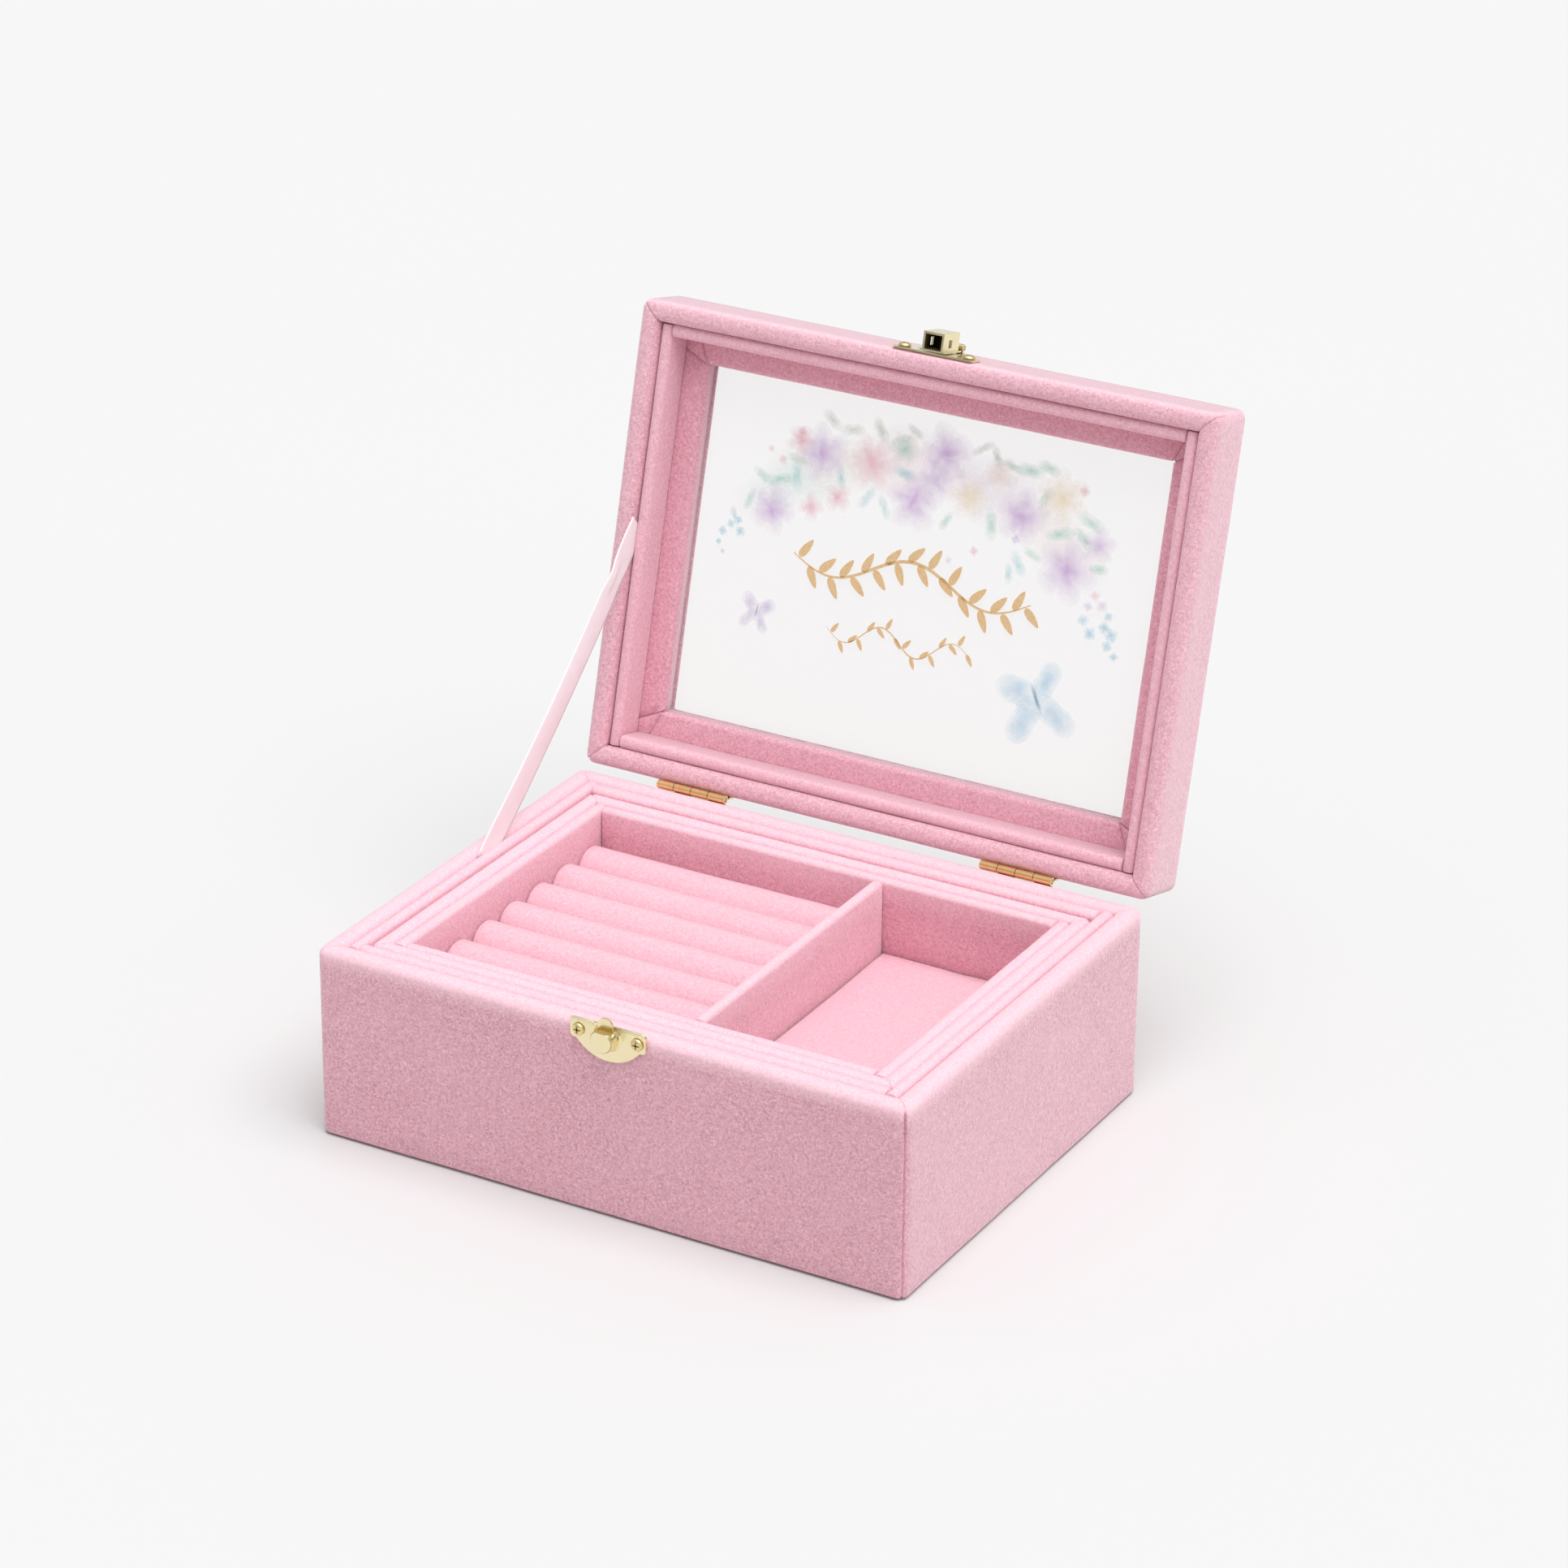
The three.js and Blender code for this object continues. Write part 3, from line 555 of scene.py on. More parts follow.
def corner_seams(bm, outer, inner, top, height, reach=9 * MM):
    """Mitre seams across a rim at its corners; the height is negative where the rim looks down."""
    s = sizes()
    low, high = (top - height, top + 1 * MM) if height > 0 else (top - 1 * MM, top - height)
    for sx, sy in CORNERS:
        a = Vector((sx * outer[0], sy * outer[1], 0))
        b = Vector((sx * inner[0], sy * inner[1], 0))
        run = (b - a).normalized()
        middle = (a + b) / 2

        def near(p, middle=middle):
            return abs(p.x - middle.x) < reach and abs(p.y - middle.y) < reach and low < p.z < high

        seam(bm, middle, (-run.y, run.x, 0), s.seam_width / 2, s.seam_depth, near)


def wrapped_card(low, high, round_axis, radius, seed, upright=True):
    """A card wrapped in velvet: its top edge is full and round, its other edges are soft."""
    bm = box_mesh(low, high)
    top = high.z if upright else low.z
    round_edges(bm, edges_along(edges_at(bm, top), round_axis), radius)
    round_edges(bm, sharp_edges(bm, 1.0), 0.35 * MM, 2)
    cut_into(bm, 7 * MM, 7 * MM, 9.1 * MM)
    ruffle(bm, sizes().ruffle, 24 * MM, seed)
    # Paler top edge: partly rubbed pile, partly a painted highlight where the overhead light falls
    pile_wear_and_painted_light(bm, top, 0.8 * MM, 2.2 * MM, 1 if upright else -1, 0.9 if upright else 0.45)
    return bm


def reach_to_wall(low, high, across):
    """Lets a liner's cover fill the gap between the liner and the wall behind it."""
    if low[across] > 0:
        high[across] += LINER_GAP
    elif high[across] < 0:
        low[across] -= LINER_GAP


def wrap_upright(name, axis, body, seed, share, reach=True, turn=None):
    """Wraps a liner or divider in velvet; its rounded edge takes the share of its thickness."""
    low, high = node_box(name, turn=turn)
    radius = (high - low)[1 - axis] * share
    if reach:
        reach_to_wall(low, high, 1 - axis)
    bm = wrapped_card(low, high, axis, radius, seed, upright=turn is None)
    add_piece(bm, name + "_cover", "velvet_inner", body, "velvet_inner", [name], 0.85, turn=turn)


class JEWELRYBOX_OT_base_cover(bpy.types.Operator):
    """Velvet wrapped round the four base walls, mitred at the rim's corners"""

    bl_idname = "jewelry_box.base_cover"
    bl_label = "Base cover"

    def execute(self, context):
        s = sizes()
        walls, low, high, hole = four_walls("base")
        outer = (high.x, high.y)
        bm = shell_of_loops([
            (*outer, low.z, s.corner, s.foot),
            (*outer, high.z, s.corner, s.rim),
            (*hole, high.z, 0.6 * MM, s.rim),
            (*hole, low.z, 0.6 * MM, 0),
        ])
        cut_into(bm, 6 * MM, 6 * MM, 7 * MM)
        ruffle(bm, s.ruffle, 26 * MM, 1)
        # Paler top rim: partly rubbed pile, partly a painted highlight where the overhead light falls
        pile_wear_and_painted_light(bm, high.z, 2.0 * MM, 3.2 * MM)
        corner_seams(bm, outer, hole, high.z, 8 * MM)

        def front_right_edge(p):
            return p.x > high.x - 5 * MM and p.y < -high.y + 5 * MM and p.z < high.z - 2.5 * MM

        seam(bm, (high.x - 1.0 * MM, -high.y + 1.0 * MM, 0), (1, 1, 0), 0.5 * MM, 0.8 * MM,
             front_right_edge)
        add_piece(bm, "base_velvet_cover", "velvet_outer", "base", "velvet_outer", walls, 0.9)
        return {"FINISHED"}


class JEWELRYBOX_OT_base_liners(bpy.types.Operator):
    """Four velvet liners inside the base, and the boards, ledges and underside sheet"""

    bl_idname = "jewelry_box.base_liners"
    bl_label = "Base liners"

    def execute(self, context):
        for k, (side, axis) in enumerate(SIDES):
            wrap_upright(f"base_liner_{side}", axis, "base", 10 + k, 0.46)
        refinish("velvet_inner", "tray_ledge_left", "tray_ledge_right")
        refinish("card", "base_floor_board", "tray_floor_board")
        refinish("paper", "base_underside_sheet")
        return {"FINISHED"}


# ---------------------------------------------------------------- tray

class JEWELRYBOX_OT_tray(bpy.types.Operator):
    """Lift-out tray: wrapped walls, linings and divider"""

    bl_idname = "jewelry_box.tray"
    bl_label = "Tray"

    def execute(self, context):
        s = sizes()
        walls, low, high, hole = four_walls("tray")
        outer = (high.x, high.y)
        bm = shell_of_loops([
            (*outer, low.z, 2.5 * MM, 0.5 * MM),
            (*outer, high.z, 2.5 * MM, s.tray_rim),
            (*hole, high.z, 0.5 * MM, s.tray_rim),
            (*hole, low.z, 0.5 * MM, 0),
        ], 3)
        cut_into(bm, 6 * MM, 6 * MM, 8 * MM)
        ruffle(bm, s.ruffle, 22 * MM, 21)
        # Paler top rim: partly rubbed pile, partly a painted highlight where the overhead light falls
        pile_wear_and_painted_light(bm, high.z, 1.2 * MM, 2.6 * MM)
        corner_seams(bm, outer, hole, high.z, 7 * MM, reach=7 * MM)
        add_piece(bm, "tray_velvet_cover", "velvet_outer", "tray", "velvet_inner", walls, 0.9)
        for k, (side, axis) in enumerate(SIDES):
            wrap_upright(f"tray_lining_{side}", axis, "tray", 30 + k, 0.42)
        wrap_upright("tray_divider", 1, "tray", 34, 0.42, reach=False)
        return {"FINISHED"}


def inflate(piece, pressure, cap, frames=20):
    """Swells a padded piece with the Cloth simulation, and keeps each point near where it was."""
    scene = bpy.context.scene
    rest = [v.co.copy() for v in piece.data.vertices]
    cloth = piece.modifiers.new("stuffing", "CLOTH")
    cloth.settings.use_pressure = True
    cloth.settings.uniform_pressure_force = pressure
    cloth.settings.effector_weights.gravity = 0.0
    cloth.settings.tension_stiffness = 25.0
    cloth.settings.compression_stiffness = 25.0
    cloth.collision_settings.use_collision = False
    cloth.point_cache.frame_start = 1
    cloth.point_cache.frame_end = frames
    for f in range(1, frames + 1):
        scene.frame_set(f)
    held = piece.evaluated_get(bpy.context.evaluated_depsgraph_get())
    moved = [v.co.copy() for v in held.data.vertices]
    piece.modifiers.remove(cloth)
    scene.frame_set(1)
    for v, a, b in zip(piece.data.vertices, rest, moved):
        step = b - a
        v.co = a + step * min(1.0, cap / max(step.length, 1e-9))


class JEWELRYBOX_OT_rolls_and_pads(bpy.types.Operator):
    """Seven padded ring rolls, the tray's floor pad and the base's floor pad"""

    bl_idname = "jewelry_box.rolls_and_pads"
    bl_label = "Rolls and pads"

    def execute(self, context):
        for k in range(1, 8):
            self.ring_roll(f"ring_roll_{k}", 40 + k)
        self.floor_pad("tray_floor_pad", "tray", "velvet_roll", 50)
        self.floor_pad("base_floor_pad", "base", "velvet_inner", 51)
        return {"FINISHED"}

    def ring_roll(self, name, seed):
        """A stuffed roll that keeps inside its own box, but for a little swelling on top."""
        low, high = node_box(name)
        bm = box_mesh(low, high)
        round_edges(bm, edges_along(edges_at(bm, high.z), 0), (high.y - low.y) * 0.495, 10)
        round_edges(bm, edges_along(edges_at(bm, low.z), 0), 3.5 * MM, 4)
        round_edges(bm, sharp_edges(bm, 1.2), 1.3 * MM, 3)
        cut_into(bm, 3.2 * MM)
        ruffle(bm, 0.22 * MM, 17 * MM, seed)
        piece = finish_mesh(bm, name + "_velvet", finish_named("velvet_roll"))
        inflate(piece, 3.0, 0.35 * MM)
        below, above = 0.02 * MM, (0, 0, 0.15 * MM)
        for v in piece.data.vertices:
            for axis in range(3):
                v.co[axis] = min(max(v.co[axis], low[axis] - below), high[axis] + above[axis])
        set_piece(piece, "tray", [name])

    def floor_pad(self, name, body, finish, seed):
        """A thin pad with a soft edge."""
        low, high = node_box(name)
        bm = box_mesh(low, high)
        round_edges(bm, edges_at(bm, high.z), 0.9 * MM, 4)
        cut_into(bm, 5 * MM, 5 * MM)
        ruffle(bm, 0.15 * MM, 30 * MM, seed)
        piece = finish_mesh(bm, name + "_velvet", finish_named(finish))
        inflate(piece, 1.0, 0.4 * MM)
        set_piece(piece, body, [name])


# ---------------------------------------------------------------- lid

class JEWELRYBOX_OT_lid_cover(bpy.types.Operator):
    """Velvet round the lid's walls and over its top frame to the window's edge"""

    bl_idname = "jewelry_box.lid_cover"
    bl_label = "Lid cover"

    def execute(self, context):
        s = sizes()
        turn = lid_turn()
        walls, low, high, hole = four_walls("lid", turn)
        frame_foot = node_box("lid_outer_frame", turn=turn)[0].z
        outer, window = (high.x, high.y), (s.window_x, s.window_y)
        bm = shell_of_loops([
            (*outer, low.z, s.corner, s.rim),
            (*outer, high.z, s.corner, s.rim * 0.9),
            (*window, high.z, 0.8 * MM, 0.8 * MM),
            (*window, frame_foot, 0.8 * MM, 0),
            (*hole, frame_foot, 0.6 * MM, 0),
            (*hole, low.z, 0.6 * MM, s.rim),
        ])
        cut_into(bm, 6 * MM, 6 * MM, 6 * MM)
        ruffle(bm, s.ruffle, 26 * MM, 61)
        # Painted light: the front face, which looks up when the lid stands open, and the right side are
        # painted paler where the light falls; the rim is paler for rubbed pile and for painted light
        pile_wear_and_painted_light(bm, low.z, 0.3 * MM, 2.4 * MM, -1, 0.35)
        pile_wear_and_painted_light(bm, low.y, 0.6 * MM, 1.2 * MM, -1, 0.9, axis=1)
        pile_wear_and_painted_light(bm, high.x, 0.6 * MM, 1.2 * MM, 1, 0.45, axis=0)
        corner_seams(bm, outer, hole, low.z, -7 * MM)
        add_piece(bm, "lid_velvet_cover", "velvet_outer", "lid", "velvet_outer",
                  walls + ["lid_outer_frame"], 0.9, turn=turn)
        return {"FINISHED"}


class JEWELRYBOX_OT_lid_liners(bpy.types.Operator):
    """Four velvet liners that stand inside the lid's walls"""

    bl_idname = "jewelry_box.lid_liners"
    bl_label = "Lid liners"

    def execute(self, context):
        for k, (side, axis) in enumerate(SIDES):
            wrap_upright(f"lid_liner_{side}", axis, "lid", 70 + k, 0.46, turn=lid_turn())
        return {"FINISHED"}


class JEWELRYBOX_OT_window_frame(bpy.types.Operator):
    """Velvet frame round the window, with two folds at each corner"""

    bl_idname = "jewelry_box.window_frame"
    bl_label = "Window frame"

    def execute(self, context):
        s = sizes()
        turn = lid_turn()
        low, high = node_box("lid_inner_frame", turn=turn)
        outer, window = (high.x, high.y), (s.window_x, s.window_y)
        bm = shell_of_loops([
            (*outer, low.z, 0.5 * MM, 0.3 * MM),
            (*window, low.z, 1.0 * MM, s.window_edge),
            (*window, high.z, 1.0 * MM, 0),
            (*outer, high.z, 0.5 * MM, 0),
        ], 4)
        cut_into(bm, 6 * MM, 6 * MM)
        ruffle(bm, s.ruffle, 20 * MM, 80)
        reach, deep = -2.2 * MM, low.z + 3 * MM
        for sx, sy in CORNERS:
            corner = Vector((sx * s.window_x, sy * s.window_y, 0))

            def near(p, c=corner, sx=sx, sy=sy):
                return (p.x - c.x) * sx > reach and (p.y - c.y) * sy > reach and p.z < deep

            for lean in (-0.36, 0.36):
                run = Vector((sx, sy, 0)).normalized()
                run.rotate(Matrix.Rotation(lean, 3, "Z"))
                seam(bm, corner, (-run.y, run.x, 0), 0.45 * MM, 0.85 * MM, near)
        add_piece(bm, "window_velvet_frame", "velvet_inner", "lid", "velvet_inner",
                  ["lid_inner_frame"], 0.7, turn=turn)
        refinish("pane", "window_pane")
        return {"FINISHED"}


# ---------------------------------------------------------------- print on the window

def wash_disc(bm, layer, centre, outline, tint, rings, points, cover, heart):
    """A flat blot: outline(angle) is its radius, and its tone runs from heart to tint."""
    known = set(bm.verts)
    made = bmesh.ops.create_circle(bm, cap_ends=True, segments=points, radius=1.0)["verts"]
    face = made[0].link_faces[0]
    for _ in range(rings - 1):
        bmesh.ops.inset_region(bm, faces=[face], thickness=1.0 / rings, use_even_offset=True)
    bmesh.ops.poke(bm, faces=[face])
    seen = [v for v in bm.verts if v not in known]
    for v in seen:
        share = v.co.length
        angle = math.atan2(v.co.y, v.co.x)
        rim = outline(angle)
        v.co = Vector((centre[0] + share * rim * math.cos(angle),
                       centre[1] + share * rim * math.sin(angle), centre[2]))
        tone = tint(share, angle)
        if heart is not None:
            mix = max(0.0, 1 - share / 0.45) ** 0.7
            tone = tuple(h * mix + t * (1 - mix) for h, t in zip(heart, tone))
        fade = cover[0] + (cover[1] - cover[0]) * share
        if share > 0.93:
            fade *= 0.12
        v[layer] = (*tone, fade)


# Distance from the pane to the print, and between two blots of ink
PRINT_GAP = 0.06 * MM
INK_LAYER = 0.006 * MM

# Places and lengths on the window are in millimetres from its middle
# Big blossoms: x, y, radius, petals, tone and heart
BLOSSOMS = (
    (-60, -16, 8.2, 5, "lavender", "violet"), (-43, -39, 9.4, 5, "lavender", "violet"),
    (-52, -42, 5.2, 5, "blush", "rose"), (-24, -39, 9.2, 6, "cream", "rose"),
    (4, -48, 9.4, 4, "lavender", "violet"), (-6, -29, 9.6, 5, "lavender", "violet"),
    (15, -35, 8.0, 6, "cream", "honey"), (35, -32, 9.0, 5, "lavender", "violet"),
    (49, -41, 9.2, 6, "cream", "honey"), (54, -17, 10.4, 5, "lavender", "violet"),
    (-35, -25, 5.0, 4, "blush", "rose"), (-45, -20, 4.6, 4, "blush", "rose"),
    (1, -38, 6.0, 5, "lavender", "lavender"), (25, -44, 6.5, 5, "cream", "cream"),
    (65, -28, 6.0, 5, "lavender", "lavender"), (-12, -46, 6.0, 6, "cream", "mint"),
)
# Leaves: x, y, length, width, heading in degrees and tone
LEAVES = (
    (-65, -27, 6.5, 2.2, 30, "mint"), (-58, -27, 7.5, 2.4, -20, "mint"),
    (-69, -18, 6.0, 1.8, 110, "mint"), (-52, -29, 7.5, 2.6, 80, "teal"), (-41, -51, 6.5, 2.5, 40, "moss"),
    (-33, -49, 7.5, 2.6, -10, "moss"), (-22, -51, 7.0, 2.5, 55, "moss"),
    (-14, -49, 6.0, 2.0, -25, "mint"), (-9, -53, 5.5, 1.8, 30, "moss"), (-24, -27, 7.0, 2.2, -55, "teal"),
    (-17, -25, 6.5, 2.0, 60, "teal"), (-11, -38, 7.0, 2.4, 10, "teal"), (17, -52, 7.0, 1.7, -35, "moss"),
    (23, -50, 7.5, 1.9, 60, "moss"), (29, -48, 6.0, 1.8, 20, "mint"), (36, -48, 8.0, 3.0, 0, "mint"),
    (43, -50, 6.5, 2.6, 15, "mint"), (24, -27, 7.8, 2.8, 80, "mint"), (61, -35, 7.5, 3.0, 20, "mint"),
    (50, -29, 8.0, 2.6, -15, "mint"), (59, -29, 7.0, 2.4, 35, "mint"), (36, -16, 7.0, 2.4, 55, "teal"),
    (33, -12, 5.0, 1.8, 85, "teal"), (41, -20, 5.5, 2.0, 20, "mint"), (66, -20, 5.5, 2.2, 0, "mint"),
    (-74, -11, 5.0, 1.5, 60, "sky"), (-35, -32, 6.0, 2.0, 75, "teal"), (7, -25, 5.5, 1.8, -60, "mint"),
    (43, -40, 6.5, 2.2, -60, "mint"), (-52, -35, 6.0, 2.0, 10, "moss"),
)
# Small buds: x, y, radius and tone
BUDS = (
    (-78, -5, 1.9, "sky"), (-75, -8, 1.7, "sky"), (-71, -6, 2.1, "sky"), (-79, -1, 1.3, "sky"),
    (-77, 2, 1.0, "sky"), (-72, -10, 1.5, "sky"), (66, -11, 2.1, "blush"), (69, -8, 2.3, "lavender"),
    (64, -7, 1.9, "lavender"), (63, -2, 2.3, "sky"), (66, 2, 2.5, "sky"), (71, -1, 2.4, "sky"),
    (74, 1, 2.6, "sky"), (73, 5, 2.1, "sky"), (76, 8, 1.7, "sky"), (72, -5, 1.8, "sky"),
    (-52, -45, 2.0, "rose"), (19, -17, 1.9, "rose"), (10, -12, 1.4, "lavender"), (34, -24, 1.8, "violet"),
    (-58, -34, 1.9, "blush"), (-63, -37, 1.5, "blush"), (57, -45, 2.2, "blush"),
)

# Gold vines: middle, half length, rise and waves; then stem width, leaves and leaf size
VINES = (
    (((-3, -3), 46, 5.5, 3), 1.0, 22, 1.0),
    (((-4.5, 20), 28, 4.0, 4), 0.45, 16, 0.55),
)


class JEWELRYBOX_OT_window_print(bpy.types.Operator):
    """Water-colour garland, two butterflies and a gold sprig printed on the window"""

    bl_idname = "jewelry_box.window_print"
    bl_label = "Window print"

    def execute(self, context):
        c = colours()
        turn = lid_turn()
        level = node_box("window_pane", turn=turn)[0].z - PRINT_GAP
        tones = {key: tuple(getattr(c, key)) for key in ("lavender", "blush", "mint", "sky")}
        tones |= {
            "cream": (0.94, 0.84, 0.76), "violet": (0.62, 0.40, 0.78), "rose": (0.88, 0.48, 0.58),
            "honey": (0.93, 0.82, 0.50), "moss": (0.62, 0.74, 0.62), "teal": (0.40, 0.76, 0.78),
        }
        bm = bmesh.new()
        layer = bm.verts.layers.float_color.new("tint")
        layers = itertools.count()

        def blot(x, y, outline, tint, rings, points, cover, heart=None):
            centre = (x * MM, y * MM, level - next(layers) * INK_LAYER)
            wash_disc(bm, layer, centre, outline, tint, rings, points, cover, heart)

        def soft(tone, much):
            return tuple(v + (1 - v) * much for v in tone)

        def petals(count, size, turn_by, depth=0.30):
            return lambda a: size * (1 - depth + depth * abs(math.cos((a - turn_by) * count / 2)) ** 0.7
                                     + 0.05 * math.sin(7 * a + turn_by))

        def leaf(half_length, half_width, heading):
            def outline(a):
                t = a - heading
                x, y = math.cos(t) / half_length, math.sin(t) / half_width
                return 1 / math.sqrt(x * x + y * y) * (1 - 0.25 * abs(math.sin(t)) ** 3)
            return outline

        under = [Vector(tones[tone])
                 for tone in ("lavender", "mint", "blush", "lavender", "cream", "lavender")]
        made = bmesh.ops.create_grid(bm, x_segments=70, y_segments=12, size=0.5)["verts"]
        for v in made:
            along, off = v.co.x + 0.5, v.co.y * 2
            bow = math.pi * (1 - along)
            half = 13 + 2.5 * math.sin(along * 31)
            part = along * (len(under) - 1)
            first = min(int(part), len(under) - 2)
            tone = under[first].lerp(under[first + 1], part - first)
            v.co = ((-2 + (62 + half * off) * math.cos(bow)) * MM,
                    (-10 - (31 + half * off) * math.sin(bow)) * MM, level)
            fade = (1 - off * off) ** 1.5 * min(1, 9 * along * (1 - along))
            v[layer] = (*soft(tone, 0.35), 0.42 * fade)
        next(layers)

        for x, y, long_, wide, heading, tone in LEAVES:
            blot(x, y, leaf(long_ * 0.74 * MM, wide * 1.1 * MM, math.radians(heading)),
                 lambda share, a, tone=tone: soft(tones[tone], 0.02 + 0.18 * share), 4, 28, (0.80, 0.60))
        for k, (x, y, radius, count, tone, heart) in enumerate(BLOSSOMS):
            turned = 0.7 * k
            blot(x, y, petals(count, radius * 1.15 * MM, turned),
                 lambda share, a, tone=tone, n=count, w=turned: soft(
                     tones[tone], 0.10 + 0.34 * share + 0.14 * math.sin((a - w) * n)),
                 7, 60, (0.90, 0.62), tones[heart])
        for k, (x, y, radius, tone) in enumerate(BUDS):
            blot(x, y, petals(4, radius * 1.05 * MM, k),
                 lambda share, a, tone=tone: soft(tones[tone], 0.06), 3, 24, (0.80, 0.65))

        def butterfly(x, y, wings, lean, tone, body):
            """Wings are heading, length and width, and all turn by lean; body is its half length."""
            for heading, long_, wide in wings:
                at = math.radians(heading + lean)
                blot(x + long_ * 0.53 * math.cos(at), y + long_ * 0.53 * math.sin(at),
                     leaf(long_ * 0.56 * MM, wide * 0.56 * MM, at),
                     lambda share, a: soft(tone, 0.20 + 0.20 * math.sin(2 * a + 1)), 6, 44, (0.88, 0.92))
            blot(x, y, leaf(body * MM, body * 0.13 * MM, math.radians(90 + lean)),
                 lambda share, a: tuple(v * 0.62 for v in tone), 3, 24, (0.85, 0.8))

        butterfly(-60.5, 20, ((35, 7.4, 6.2), (145, 7.4, 6.2), (-52, 8.0, 4.6), (-128, 8.0, 4.6)),
                  -172, (0.50, 0.45, 0.76), 3.0)
        butterfly(50, 28, ((38, 14.5, 11.5), (142, 13.5, 9.5), (-38, 16.5, 11.5), (-122, 16.5, 10.5)),
                  152, (0.27, 0.62, 0.83), 6.8)
        add_piece(bm, "window_water_colour", "ink", "lid", "pane", turn=turn, facing=Vector((0, 0, -1)))
        self.gold_sprig(turn, level - next(layers) * INK_LAYER)
        return {"FINISHED"}

    def gold_sprig(self, turn, level):
        """Two curling gold vines with small leaves."""
        bm = bmesh.new()

        def vine(t, middle, half, rise, waves):
            return Vector((middle[0] - half + 2 * half * t,
                           middle[1] + rise * math.sin(t * waves * math.pi)))

        for shape, wide, leaves, size in VINES:
            made = bmesh.ops.create_grid(bm, x_segments=80, y_segments=1, size=0.5)["verts"]
            for v in made:
                t = v.co.x + 0.5
                run = vine(t + 0.01, *shape) - vine(t - 0.01, *shape)
                side = Vector((-run.y, run.x)).normalized() * wide * (0.35 + 0.65 * math.sin(math.pi * t))
                at = vine(t, *shape) + side * (1 if v.co.y > 0 else -1) * 0.6
                v.co = (at.x * MM, at.y * MM, level)
            for k in range(leaves):
                t = (k + 0.5) / leaves
                at = vine(t, *shape)
                made = bmesh.ops.create_circle(bm, cap_ends=True, segments=20, radius=1.0)["verts"]
                for v in made:
                    v.co.y *= 0.36 * (1 - 0.35 * v.co.x)
                bmesh.ops.scale(bm, vec=(4.0 * size * MM, 4.0 * size * MM, 1), verts=made)
                bmesh.ops.translate(bm, vec=(4.4 * size * MM, 0, 0), verts=made)
                lean = (1 if k % 2 else -1) * (0.95 + 0.2 * math.sin(k * 2.3))
                turned = Matrix.Rotation(lean, 3, "Z")
                bmesh.ops.rotate(bm, cent=(0, 0, 0), matrix=turned, verts=made)
                bmesh.ops.translate(bm, vec=(at.x * MM, at.y * MM, level), verts=made)
        add_piece(bm, "window_gold_sprig", "gold_ink", "lid", "pane", turn=turn,
                  facing=Vector((0, 0, -1)))


# ---------------------------------------------------------------- metal fittings

